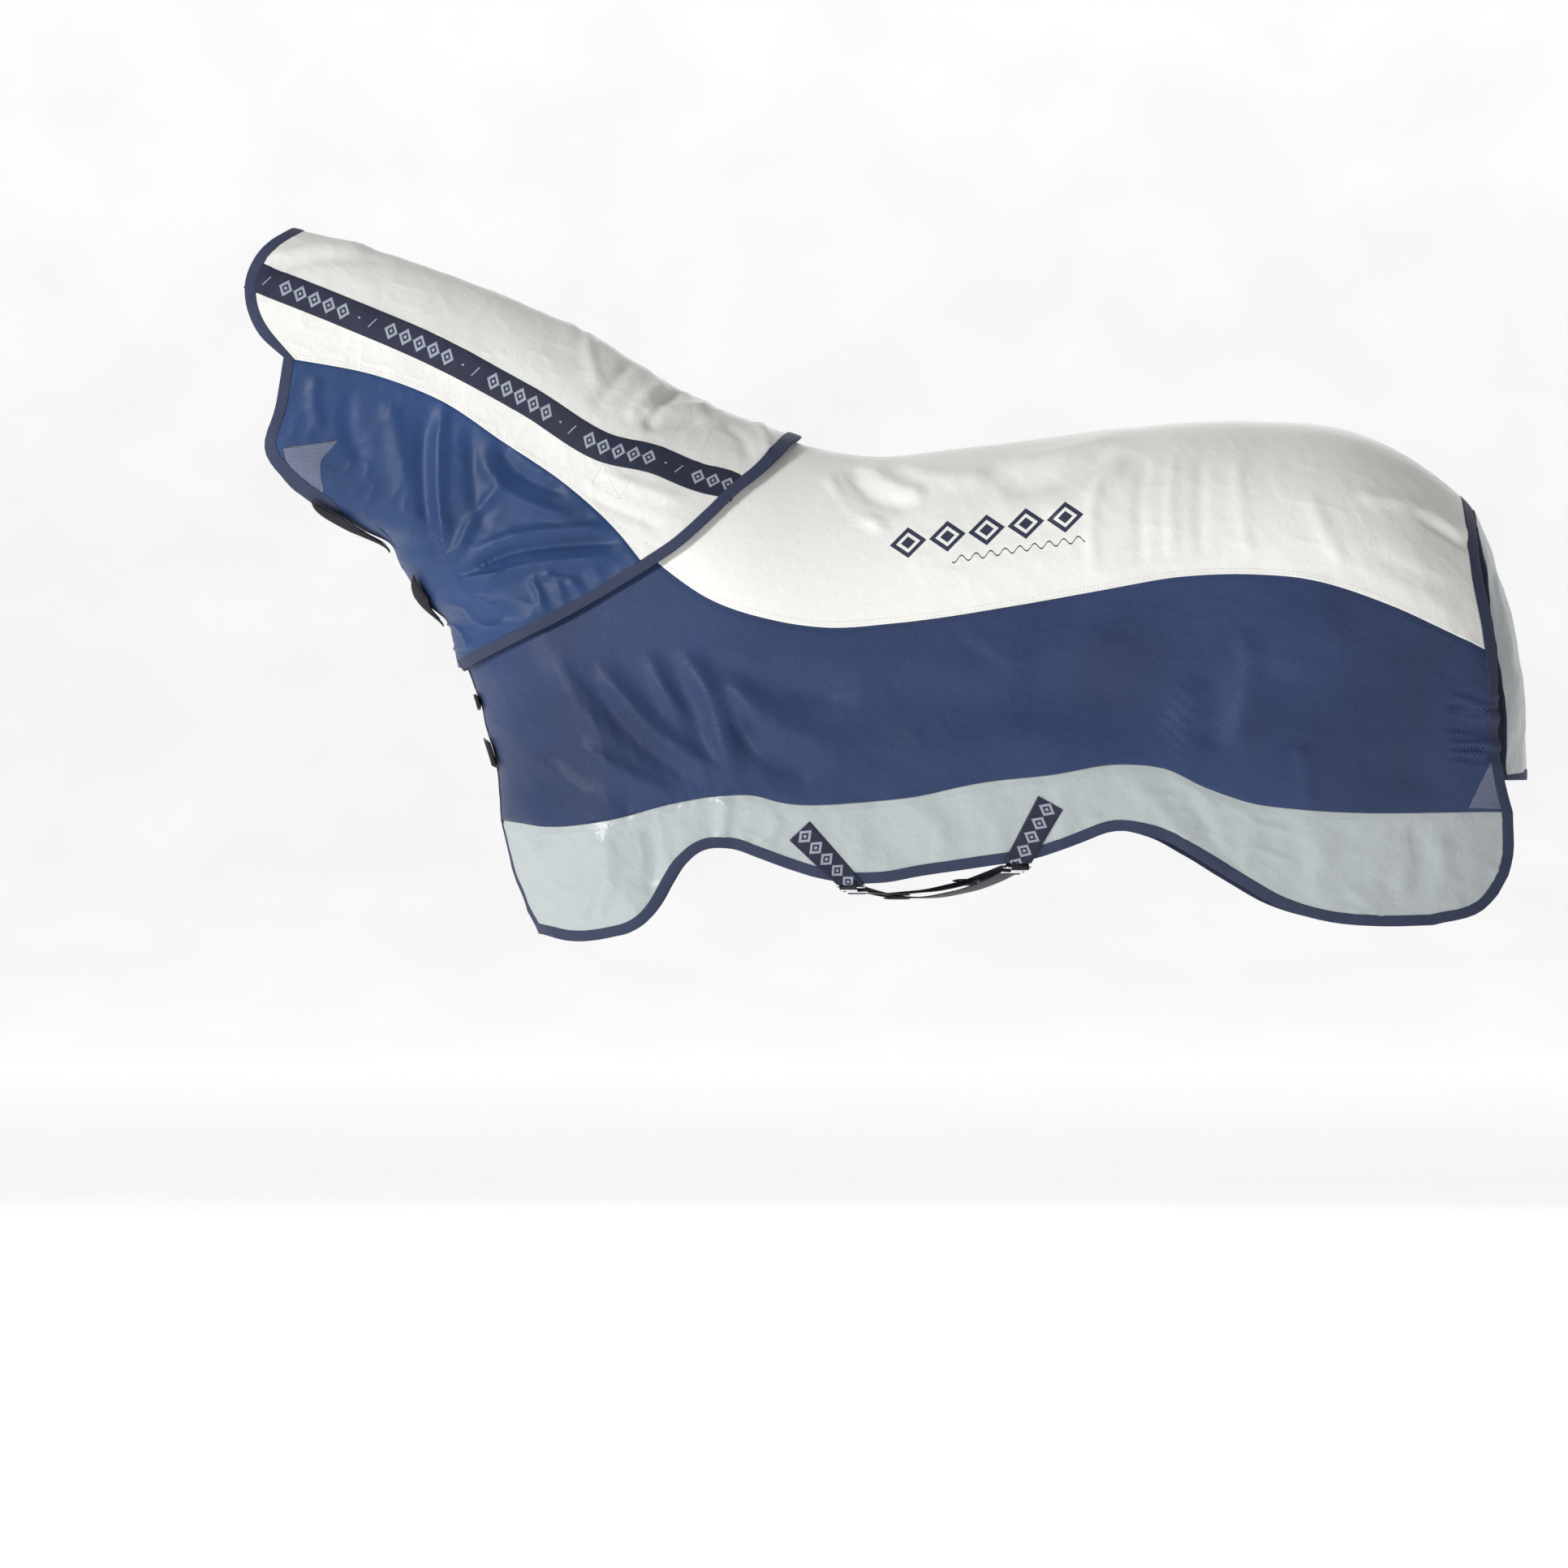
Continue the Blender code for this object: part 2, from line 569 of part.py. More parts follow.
def holed_plate(name, centre, run, square, size, hole, thickness, colour, pivot, metallic=1.0):
    """A flat ring: a plate with a rectangular slot through it."""
    bm = bmesh.new()
    box_between(bm, centre, run, square, (size[1], size[0], thickness))
    obj = add_mesh(name, bm, colour, pivot, 0.3, metallic)
    slot = bmesh.new()
    box_between(slot, centre, run, square, (hole[1], hole[0], thickness * 4))
    boolean(obj, "DIFFERENCE", "slot", slot)


FOOT_INSET = 0.008  # and this far inside it
PLATE_DROP = 0.006  # the keepers and the sewn ends hang this far below the hem
HOOK_BASE = 0.020  # how much of the strap the hook's clamp covers
HOOK_GAP = 0.004  # between the keeper and the hook below it
STRAP_END_GAP = 0.001  # between the strap's end and the clamp
SLIDER_PLACE = 0.30  # as a share of the strap, from its sewn end


def hook(name, plate_centre, run, square, pivot):
    """A clamp on the strap's end with a tongue that turns up through the keeper's slot."""
    width, rod = HOOK_TONGUE
    below = PLATE_THICKNESS / 2 + HOOK_GAP + rod
    back = PLATE_SIZE[1] / 2 + HOOK_BASE / 2
    top = HOOK_RISE - below
    profile = [(-back, -below), (rod / 2, -below), (rod / 2, top), (-rod / 2, top),
               (-rod / 2, rod - below), (-back, rod - below)]
    bm = bmesh.new()
    up = np.array([0, 0, 1.0])
    corners = [plate_centre + a * run + b * up - square * width / 2 for a, b in profile]
    face = bm.faces.new([bm.verts.new(corner) for corner in corners])
    extruded = bmesh.ops.extrude_face_region(bm, geom=[face])["geom"]
    moved = [item for item in extruded if isinstance(item, bmesh.types.BMVert)]
    bmesh.ops.translate(bm, verts=moved, vec=Vector(square * width))
    bmesh.ops.recalc_face_normals(bm, faces=bm.faces)
    obj = add_mesh(name, bm, STEEL, pivot, 0.3, 1.0)
    clamp = bmesh.new()
    reach = PLATE_SIZE[1] / 2 + HOOK_GAP + HOOK_BASE / 2
    middle = plate_centre - run * reach - up * (below - rod / 2)
    box_between(clamp, middle, run, square, (HOOK_BASE, BELLY_STRAP_WIDTH, rod * 2))
    boolean(obj, "UNION", "clamp", clamp)
    return middle - run * HOOK_BASE / 2


def belly_straps():
    """Two straps sewn at the right side that cross under the belly and hook on at the left."""
    ends = {"front": (FRONT_TAB_TOP, FRONT_TAB_END), "rear": (REAR_TAB_TOP, REAR_TAB_END)}
    for place, (top, end) in ends.items():
        for name, side in SIDES.items():
            tab(f"{name}_{place}_tab", top, end, side)
    routes = {"front": ("front", "rear", BELLY_STRAP_SAG + CROSSING_GAP),
              "rear": ("rear", "front", BELLY_STRAP_SAG)}
    for name, (sewn, hooked, sag) in routes.items():
        start = tab_foot(ends[sewn][1], 1)
        end = tab_foot(ends[hooked][1], -1)
        pivot = tuple(start)
        run, square = strap_frame(start, end)
        holed_plate(f"left_{hooked}_slot_plate", end, run, square, PLATE_SIZE, PLATE_SLOT,
                    PLATE_THICKNESS, STEEL, (0, 0, 0))
        strap_end = hook(f"{name}_surcingle_hook", end, run, square, pivot)
        tail = strap_end - run * STRAP_END_GAP
        strap_solid(f"{name}_surcingle", start, tail, sag, pivot)
        at = strap_line(start, tail, sag, [SLIDER_PLACE, SLIDER_PLACE + 0.01])
        slope = at[1] - at[0]
        slope /= np.linalg.norm(slope)
        slider(f"{name}_surcingle_slider", at[0], slope, square)
        print(name, "surcingle swings about", [round(float(v), 4) for v in start],
              "axis", [round(float(v), 4) for v in (-run[1], run[0], 0)], "slide at",
              [round(float(v), 4) for v in at[0]], "along", [round(float(v), 4) for v in slope])


def slider(name, centre, slope, square):
    """A flat sleeve that the webbing runs through."""
    inner = (BELLY_STRAP_WIDTH + 2 * SLIDER_GAP, STRAP_THICKNESS + 2 * SLIDER_GAP)
    outer = (inner[0] + 2 * SLIDER_WALL, inner[1] + 2 * SLIDER_WALL * 0.6)
    bm = bmesh.new()
    box_between(bm, centre, slope, square, (SLIDER_LENGTH, outer[0], outer[1]))
    obj = add_mesh(name, bm, BLACK, tuple(centre), 0.4)
    bore = bmesh.new()
    box_between(bore, centre, slope, square, (SLIDER_LENGTH * 2, inner[0], inner[1]))
    boolean(obj, "DIFFERENCE", "bore", bore)


# ---------------------------------------------------------------- tail flap
FLAP_FALL = 0.050  # how far the flap's top edge falls at its sides
FLAP_BULGE_START = 2.2  # the bulge is full this share (1 / 2.2) down the flap


def tail_flap():
    """A trapezoid that hangs from the top of the rear edge and bulges over the tail."""
    line = path(sized([(1.190, -0.11), (1.224, -0.19), (1.252, -0.277), (1.2725, -0.365),
                       (1.283, -0.482), (1.284, -0.60)]), np.linspace(0, 1, 9))

    def point(u, v, shrink):
        """u from -1 to 1 across and v from 0 to 1 down; shrink is the distance in from the edge."""
        length = np.linalg.norm(np.diff(line, axis=0), axis=1).sum()
        v = v * (1 - shrink / length)
        half = FLAP_HALF_WIDTH[0] + (FLAP_HALF_WIDTH[1] - FLAP_HALF_WIDTH[0]) * v - shrink
        x = np.interp(v, np.linspace(0, 1, len(line)), line[:, 0])
        z = np.interp(v, np.linspace(0, 1, len(line)), line[:, 1])
        fall = FLAP_FALL * (u * half / FLAP_HALF_WIDTH[0]) ** 2 * (1 - v) ** 2
        bulge = FLAP_BULGE * np.clip(v * FLAP_BULGE_START, 0, 1) * u**2
        return np.stack([x - bulge + FLAP_GAP, u * half, z - fall], axis=-1)

    u = np.linspace(-1, 1, 9)[:, None]
    v = np.linspace(0, 1, 9)[None]
    panel = point(u, v, BINDING_WIDTH + SEAM_GAP)
    across = np.linspace(-1, 1, 9)
    down = np.linspace(0, 1, 9)

    def rim(shrink):
        first = point(np.full(9, -1.0), down, shrink)
        foot = point(across, np.ones(9), shrink)
        last = point(np.full(9, 1.0), down[::-1], shrink)
        return np.concatenate([first, foot[1:-1], last])

    strip = np.stack([rim(0.0), rim(BINDING_WIDTH)], axis=1)
    rearwards = np.array([1.0, 0, 0])
    add_sheet("tail_flap", panel, rearwards, CLOTH, SILVER, FLAP_HINGE)
    add_sheet("tail_flap_binding", strip, rearwards, BINDING_THICKNESS, TRIM, FLAP_HINGE)


FLAP_HINGE = (float(sized((1.190, -0.11))[0]), 0.0, float(sized((1.190, -0.11))[1]))


# ---------------------------------------------------------------- neck cover
COVER_HINGE = (0.0, 0.0, 0.0)
THROAT_SLOPE = 0.4  # how steeply the throat falls where the front binding ends
JAW_VENT = (0.058, 0.028)
JAW_PLACE = sized((-0.893, -0.018))
JAW_ANGLE = -0.6
WITHER_ANGLE = 0.6
LOW_POWER = 1.6  # crowds the neck mesh's rows towards the throat


def cover_edges(width):
    """The neck cover's front and rear edges, this far in from the finished edge."""
    middle = NECK_MIDDLE
    top_down = np.linspace(0, 1, COVER_TOP_ROWS) ** ROW_POWER
    rows = np.linspace(0, 1, COVER_MESH_ROWS)
    low = 1 - (1 - rows) ** LOW_POWER
    front_top = edge_inset(path(COVER_FRONT_UPPER, top_down), middle, width, width)
    front_low = edge_inset(path(COVER_FRONT_LOWER, low), middle, width, width)
    rear_top = edge_inset(path(COVER_REAR_UPPER, top_down), middle, -width / NECK_TURN, width)
    rear_low = edge_inset(path(COVER_REAR_LOWER, low), middle, -width, width)
    front_top[-1] = front_low[0]
    throat_z = COVER_FRONT_LOWER[-1, 1] - THROAT_SLOPE * width
    front_low[-1] = front_x(throat_z, FRONT_GAP), throat_z
    rear_top[-1] = rear_low[0]
    return front_top, front_low, rear_top, rear_low


def neck_cover():
    front_top, front_low, rear_top, rear_low = cover_edges(BINDING_WIDTH + SEAM_GAP)
    across = np.linspace(0, 1, COVER_COLUMNS)
    x = front_top[0, 0] + (rear_top[0, 0] - front_top[0, 0]) * across
    crest = np.stack([x, topline(x)], axis=1)
    joined = path(np.concatenate([[front_top[-1]], COVER_SEAM[1:-1], [rear_top[-1]]]), across)
    top_down = np.linspace(0, 1, COVER_TOP_ROWS) ** ROW_POWER
    top = patch(crest, joined, front_top, rear_top, across, top_down)
    add_cloth("neck_top_panel", both_sides(on_body(top, -1)), CLOTH, WHITE, COVER_LIFT, COVER_HINGE)

    z = front_low[-1, 1] + (rear_low[-1, 1] - front_low[-1, 1]) * across
    throat = np.stack([front_x(z, np.full(len(z), FRONT_GAP)), z], axis=1)
    throat[0], throat[-1] = front_low[-1], rear_low[-1]
    drop = np.array([0, -SEAM_GAP])
    rows = 1 - (1 - np.linspace(0, 1, COVER_MESH_ROWS)) ** LOW_POWER
    left = np.concatenate([[front_low[0] + drop], front_low[1:]])
    right = np.concatenate([[rear_low[0] + drop], rear_low[1:]])
    mesh = patch(joined + drop, throat, left, right, across, rows)
    mesh[..., 0] = np.maximum(mesh[..., 0], front_x(mesh[..., 1], np.full(mesh.shape[:2], FRONT_GAP)))
    for name, side in SIDES.items():
        add_cloth(f"{name}_neck_mesh", on_body(mesh, side), CLOTH, NAVY, COVER_LIFT, COVER_HINGE)
    cover_bindings()
    cover_trim()


def cover_bindings():
    outer, inner = cover_edges(0.0), cover_edges(BINDING_WIDTH)
    for name, first in (("neck_front_binding", 0), ("neck_rear_binding", 2)):
        half = np.stack([
            np.concatenate([edges[first], edges[first + 1][1:]]) for edges in (outer, inner)
        ])
        add_cloth(name, both_sides(on_body(half, -1)), BINDING_THICKNESS, TRIM, COVER_LIFT, COVER_HINGE)


def cover_trim():
    centre = path(TAPE_LINE, np.linspace(0, 1, 19))
    half = TAPE_WIDTH / 2
    upper, lower = inset(centre, (0, 2), half), inset(centre, (0, -2), half)
    rows = np.linspace(0, 1, 4)[None, :, None]
    tape = upper[:, None] * (1 - rows) + lower[:, None] * rows
    over = COVER_LIFT + CLOTH + LAYER_GAP
    under = COVER_LIFT - HOOK_PATCH_DROP - PATCH_THICKNESS
    for name, side in SIDES.items():
        add_cloth(f"{name}_neck_tape", on_body(tape, side), TAPE_THICKNESS, TRIM, over, COVER_HINGE)
        small_patch(f"{name}_jaw_vent", JAW_PLACE, JAW_VENT, JAW_ANGLE, over, PATCH_THICKNESS, SILVER, side,
                    COVER_HINGE)
        small_patch(f"{name}_wither_hook", WITHER_PLACE, WITHER_PATCH, WITHER_ANGLE, under, PATCH_THICKNESS,
                    TRIM, side, COVER_HINGE)


# ---------------------------------------------------------------- closures on the throat and chest
STRAP_REACH = {"upper_throat": (0.052, 0.100), "lower_throat": (0.050, 0.085),
               "upper_chest": (0.040, 0.050), "lower_chest": (0.050, 0.062)}
STRAP_HEIGHT = {"upper_throat": 0.030, "lower_throat": 0.042, "upper_chest": 0.030, "lower_chest": 0.050}
STRAP_CENTRE = {"upper_throat": -0.164, "lower_throat": -0.290, "upper_chest": -0.455, "lower_chest": -0.545}
STRAP_SLOPE = {"upper_throat": 0.7, "lower_throat": 0.6, "upper_chest": 0.0, "lower_chest": -0.1}
LANDING_MARGIN = 0.008


def wrap(centre, height, slope, first, last, columns):
    """A band round the front of the horse, from half-width first (right, +) to last (left, -)."""
    y = np.linspace(first, last, columns)[:, None]
    up = np.linspace(-height / 2, height / 2, 4)[None]
    z = centre + up + slope * np.abs(y)
    x = front_x(z, np.abs(y) + 0 * up)
    return np.stack([x, y + 0 * up, z], axis=-1)


def closures():
    for name in STRAP_REACH:
        right, left = STRAP_REACH[name]
        base = COVER_LIFT if "throat" in name else 0.0
        centre = STRAP_CENTRE[name] * SIDE_DEPTH / DRAWN_DEPTH
        height, slope = STRAP_HEIGHT[name], STRAP_SLOPE[name]
        over = base + BINDING_THICKNESS + STRAP_CLEARANCE
        lift = over + PATCH_THICKNESS + LAYER_GAP
        band = wrap(centre, height, slope, right, -left, 15)
        placed = band + lift * normals(band)
        pivot = tuple(placed[0].mean(axis=0))
        add_cloth(f"{name}_strap", band, STRAP_THICKNESS, BLACK, lift, pivot)
        landing = wrap(centre, height - LANDING_MARGIN, slope, -BINDING_WIDTH, -left + LANDING_MARGIN, 9)
        patch_pivot = COVER_HINGE if "throat" in name else (0, 0, 0)
        add_cloth(f"{name}_patch", landing, PATCH_THICKNESS, TRIM, over, patch_pivot)
        print(name, "hinge at", [round(float(v), 4) for v in pivot],
              "along", [round(float(v), 3) for v in placed[0, -1] - placed[0, 0]])


for old in list(bpy.data.objects):
    bpy.data.objects.remove(old)
RUG = collection_named("turnout_rug")
CUTTERS = collection_named("cutters")
body_panels()
body_bindings()
body_trim()
belly_straps()
tail_flap()
neck_cover()
closures()
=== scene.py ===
# %% [markdown]
# # A turnout rug with a neck cover
# The rug lies as it would on a standing horse, with no horse under it. White proofed cloth covers the
# back, navy mesh hangs down the sides, and a silver skirt with a bound hem closes the bottom. The packed
# model holds the sizes and the joints. This script lays the cloth over it and gives each piece its finish.
# Everything is in metres: +X runs to the tail, +Z is up, and the horse's left side is -Y.

import json
import math

import bpy
import numpy as np
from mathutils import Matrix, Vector

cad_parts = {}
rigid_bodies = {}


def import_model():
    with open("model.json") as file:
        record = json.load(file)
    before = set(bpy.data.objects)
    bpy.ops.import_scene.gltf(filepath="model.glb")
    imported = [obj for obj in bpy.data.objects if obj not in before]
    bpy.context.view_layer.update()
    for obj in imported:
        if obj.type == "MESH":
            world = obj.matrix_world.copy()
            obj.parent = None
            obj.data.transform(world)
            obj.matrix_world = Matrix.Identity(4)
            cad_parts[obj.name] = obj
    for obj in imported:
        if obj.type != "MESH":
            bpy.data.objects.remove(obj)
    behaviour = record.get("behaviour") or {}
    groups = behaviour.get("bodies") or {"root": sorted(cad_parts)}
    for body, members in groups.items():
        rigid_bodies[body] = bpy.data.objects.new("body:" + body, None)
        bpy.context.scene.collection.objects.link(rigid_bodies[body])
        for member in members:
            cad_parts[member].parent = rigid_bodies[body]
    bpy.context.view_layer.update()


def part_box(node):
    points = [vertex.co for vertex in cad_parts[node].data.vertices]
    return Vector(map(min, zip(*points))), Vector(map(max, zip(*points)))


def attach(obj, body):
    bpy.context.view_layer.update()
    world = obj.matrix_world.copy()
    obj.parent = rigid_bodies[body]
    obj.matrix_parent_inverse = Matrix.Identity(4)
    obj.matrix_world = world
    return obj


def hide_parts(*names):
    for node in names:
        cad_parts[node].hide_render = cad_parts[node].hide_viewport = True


for old in list(bpy.data.objects):
    bpy.data.objects.remove(old)
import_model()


# %% [markdown]
# ## Camera, floor and light
# Rugs are shown square from the side, through a long lens from far off, so that the outline is true. The
# set is a pale sheet that runs from the floor up a curve to a wall. Four soft lights keep the white cloth
# bright and still let its folds show: a strong one from low in front, and weak ones all round.

# %% Camera
VIEW_CENTRE = (-0.050, -0.607)  # x and z that the lens looks at
VIEW_WIDTH = 2.82  # metres across the picture, where the near side of the rug hangs
NEAR_SIDE = -0.12
DISTANCE = 20.0
SENSOR = 36.0
FAR_CLIP = 90  # past the wall

camera = bpy.data.objects.new("camera", bpy.data.cameras.new("camera"))
camera.location = (VIEW_CENTRE[0], NEAR_SIDE - DISTANCE, VIEW_CENTRE[1])
camera.rotation_euler = (math.pi / 2, 0, 0)
camera.data.sensor_width = SENSOR
camera.data.lens = SENSOR * DISTANCE / VIEW_WIDTH
camera.data.clip_end = FAR_CLIP
bpy.context.scene.collection.objects.link(camera)
bpy.context.scene.camera = camera
print("lens", round(camera.data.lens, 1), "mm")


# %% Putting a grid of points into a mesh
def grid_faces(rows, columns, wrap_rows=False, wrap_columns=False):
    """Quads of a grid numbered row by row, as four index arrays side by side."""
    i = np.arange(rows if wrap_rows else rows - 1)[:, None]
    j = np.arange(columns if wrap_columns else columns - 1)[None]
    ahead, beside = (i + 1) % rows, (j + 1) % columns
    quads = [i * columns + j, ahead * columns + j, ahead * columns + beside, i * columns + beside]
    return np.stack(np.broadcast_arrays(*quads), axis=-1).reshape(-1, 4)


def new_piece(name, points, faces, corner_uv=None):
    """A smooth mesh object from points, rows of corner numbers (a repeated last corner makes a triangle),
    and the cloth coordinates of each corner."""
    three = faces[:, 3] == faces[:, 2]
    size = np.where(three, 3, 4)
    keep = np.ones(faces.shape, bool)
    keep[three, 3] = False
    mesh = bpy.data.meshes.new(name)
    mesh.vertices.add(len(points))
    mesh.vertices.foreach_set("co", np.asarray(points, np.float32).ravel())
    mesh.loops.add(int(size.sum()))
    mesh.loops.foreach_set("vertex_index", faces[keep].astype(np.int32))
    mesh.polygons.add(len(faces))
    mesh.polygons.foreach_set("loop_start", np.concatenate([[0], np.cumsum(size)[:-1]]).astype(np.int32))
    if corner_uv is not None:
        layer = mesh.uv_layers.new(name="cloth")
        layer.data.foreach_set("uv", corner_uv[keep].astype(np.float32).ravel())
    mesh.update(calc_edges=True)
    mesh.shade_smooth()
    piece = bpy.data.objects.new(name, mesh)
    bpy.context.scene.collection.objects.link(piece)
    return piece


def lengths(grid):
    """Distance along the first direction and along the second, in metres, at each point of a grid."""
    down = np.linalg.norm(np.diff(grid, axis=0), axis=-1)
    across = np.linalg.norm(np.diff(grid, axis=1), axis=-1)
    first = np.concatenate([np.zeros((1, grid.shape[1])), np.cumsum(down, axis=0)])
    second = np.concatenate([np.zeros((grid.shape[0], 1)), np.cumsum(across, axis=1)], axis=1)
    return first, second


# %% Floor and wall
FLOOR = -1.65
FLOOR_FRONT = -30.0
SWEEP_RADIUS = 5.0
WALL_Y = 26.0
WALL_HEIGHT = 24.0
SET_HALF_LENGTH = 40.0


def add_sweep():
    """One sheet: flat, then a quarter circle, then straight up, given by a profile in y and z."""
    turn = np.linspace(0, math.pi / 2, 24)
    y = np.concatenate([[FLOOR_FRONT], WALL_Y - SWEEP_RADIUS + SWEEP_RADIUS * np.sin(turn), [WALL_Y]])
    z = np.concatenate([[0.0], SWEEP_RADIUS * (1 - np.cos(turn)), [WALL_HEIGHT]]) + FLOOR
    x = np.array([-SET_HALF_LENGTH, SET_HALF_LENGTH])
    points = np.stack([np.broadcast_to(v, (len(y), 2)) for v in (x[None], y[:, None], z[:, None])], axis=-1)
    return new_piece("sweep", points.reshape(-1, 3), grid_faces(len(y), 2)[:, ::-1])


sweep = add_sweep()
print("set:", round(WALL_Y - FLOOR_FRONT), "m deep")


# %% Lights
LIT_POINT = (0.1, 0, -0.4)  # every lamp points here
ROOM_LIGHT = 0.20


def add_light(name, place, size, power):
    """A rectangular lamp of this width and height, in metres, and this power, in watts."""
    light = bpy.data.lights.new(name, "AREA")
    light.shape = "RECTANGLE"
    light.size, light.size_y = size
    light.energy = power
    lamp = bpy.data.objects.new(name, light)
    lamp.location = place
    lamp.rotation_euler = (Vector(LIT_POINT) - Vector(place)).to_track_quat("-Z", "Y").to_euler()
    bpy.context.scene.collection.objects.link(lamp)


add_light("key", (-4.6, -4.6, 1.9), (1.3, 1.1), 330)
add_light("fill", (4.6, -5.0, 0.8), (2.6, 2.6), 40)
add_light("top", (0.2, 1.6, 4.4), (4.5, 3.0), 34)
add_light("far", (1.5, 6.0, 2.2), (3.0, 2.6), 90)
world = bpy.data.worlds.new("studio")
world.use_nodes = True
world.node_tree.nodes["Background"].inputs["Color"].default_value = (1.0, 1.0, 1.0, 1)
world.node_tree.nodes["Background"].inputs["Strength"].default_value = ROOM_LIGHT
bpy.context.scene.world = world
bpy.context.scene.view_settings.view_transform = "Standard"
print(len(bpy.data.lights), "lamps")


# %% [markdown]
# ## Sums on shader sockets
# A woven pattern is a sum of waves and masks. Written as nodes one by one it can't be read, so a small
# class wraps a socket and lets Python's own operators add the Math nodes.

# %% The shader helpers
class Value:
    """A number that varies over a surface."""

    def __init__(self, look, socket):
        self.look, self.socket = look, socket

    def math(self, operation, *others):
        return self.look.node("Math", {"operation": operation}, [self, *others])

    def __add__(self, other):
        return self.math("ADD", other)

    __radd__ = __add__

    def __mul__(self, other):
        return self.math("MULTIPLY", other)

    __rmul__ = __mul__

    def __sub__(self, other):
        return self.math("SUBTRACT", other)

    def __rsub__(self, other):
        return self.look.node("Math", {"operation": "SUBTRACT"}, [other, self])

    def __truediv__(self, other):
        return self.math("DIVIDE", other)

    def __abs__(self):
        return self.math("ABSOLUTE")

    def __lt__(self, other):
        return self.math("LESS_THAN", other)

    def __gt__(self, other):
        return self.math("GREATER_THAN", other)

    def least(self, other):
        return self.math("MINIMUM", other)

    def part(self):
        """What is left after the whole number, from 0 to 1."""
        return self.math("FRACT")

    def wave(self, pitch):
        """A sine from -1 to 1 that repeats every pitch metres."""
        return (self * (2 * math.pi / pitch)).math("SINE")

    def fade(self, low, high):
        """0 at low and 1 at high, with a soft start and end."""
        return self.look.node("MapRange", {"interpolation_type": "SMOOTHSTEP"}, [self, low, high, 0.0, 1.0])


class Look:
    """One finish: its material, and the shader whose sockets are set."""

    def __init__(self, name, **constants):
        self.material = bpy.data.materials.new(name)
        self.material.use_nodes = True
        self.tree = self.material.node_tree
        self.shader = self.tree.nodes["Principled BSDF"]
        for socket, value in constants.items():
            self.feed(socket.replace("_", " "), value)

    def put(self, socket, value):
        if isinstance(value, Value):
            self.tree.links.new(value.socket, socket)
        else:
            socket.default_value = (*value, 1) if socket.type == "RGBA" and len(value) == 3 else value

    def node(self, kind, settings=None, inputs=(), output=0):
        """Adds any node: its settings first, then its sockets by place in a list or by name in a dict."""
        made = self.tree.nodes.new("ShaderNode" + kind)
        for key, value in (settings or {}).items():
            setattr(made, key, value)
        for key, value in inputs.items() if isinstance(inputs, dict) else enumerate(inputs):
            self.put(made.inputs[key], value)
        return Value(self, made.outputs[output])

    def cloth(self):
        """Metres along and across the cloth, from the piece's own map."""
        place = self.node("UVMap", {"uv_map": "cloth"})
        return [self.node("SeparateXYZ", inputs=[place], output=k) for k in (0, 1)]

    def place(self):
        """The frame's x, y and z."""
        place = self.node("TexCoord", output="Object")
        return [self.node("SeparateXYZ", inputs=[place], output=k) for k in (0, 1, 2)]

    def noise(self, scale, detail, stretch=(1, 1, 1)):
        """Cloud noise around 0.5 on the frame's coordinates."""
        place = self.node("TexCoord", output="Object")
        scaled = self.node("VectorMath", {"operation": "MULTIPLY"}, [place, stretch])
        return self.node("TexNoise", inputs={"Vector": scaled, "Scale": scale, "Detail": detail})

    def mix(self, share, first, second):
        """first where share is 0 and second where it is 1, as colours."""
        return self.node("Mix", {"data_type": "RGBA"}, {0: share, 6: first, 7: second}, output=2)

    def feed(self, socket, value):
        self.put(self.shader.inputs[socket], value)

    def bump(self, height, distance):
        """Tilts the light as if the surface stood out by height times distance."""
        self.feed("Normal", self.node("Bump", inputs={"Height": height, "Distance": distance}))


def shaded(colour, share):
    """The colour made darker by a share under 1, or lighter by one over it."""
    return tuple(channel * share for channel in colour)


# %% [markdown]
# ## Finishes
# Each cloth is told apart by its weave: smooth proofed polyester on the back, an open dotted knit on the
# sides, a glossier taffeta on the skirt, ribbed tape round the edges. The weave is a small bump and a small
# change of colour at its real pitch, and a slow cloudy change stops a panel from looking like flat paint.

# %% Proofed cloth: the white back and the silver skirt
WHITE = (0.82, 0.815, 0.785)
SILVER = (0.420, 0.458, 0.466)
NIGHT = (0.0215, 0.0275, 0.060)
SLUB_SCALE = 420  # thread marks to a metre
SLUB_DRAWN = 0.12  # how much a slub is drawn out along its thread
COATING_BUMP = 0.0022


def proofed_look(name, colour, roughness, crease, printed=False):
    """Plain weave under a coating: fine slubs both ways, and shallow creases left by folding."""
    look = Look(name, Sheen_Weight=0.04, Sheen_Roughness=0.5, Specular_IOR_Level=0.45)
    slubs = look.noise(SLUB_SCALE, 2, (1, 1, SLUB_DRAWN)) + look.noise(SLUB_SCALE, 2, (SLUB_DRAWN, 1, 1))
    clouds = look.noise(5, 3)
    crumple = abs(look.noise(26, 3) - 0.5) + abs(look.noise(60, 2) - 0.5) * 0.5
    tone = clouds * 0.7 + slubs * 0.16
    body = look.mix(tone.fade(0.25, 0.75), shaded(colour, 0.94), colour)
    look.feed("Roughness", clouds * 0.12 + (roughness - 0.06))
    if printed:
        body = look.mix(side_print(look), body, NIGHT)
    look.feed("Base Color", body)
    look.bump(slubs * 0.05 + crumple * crease, COATING_BUMP)
    return look.material


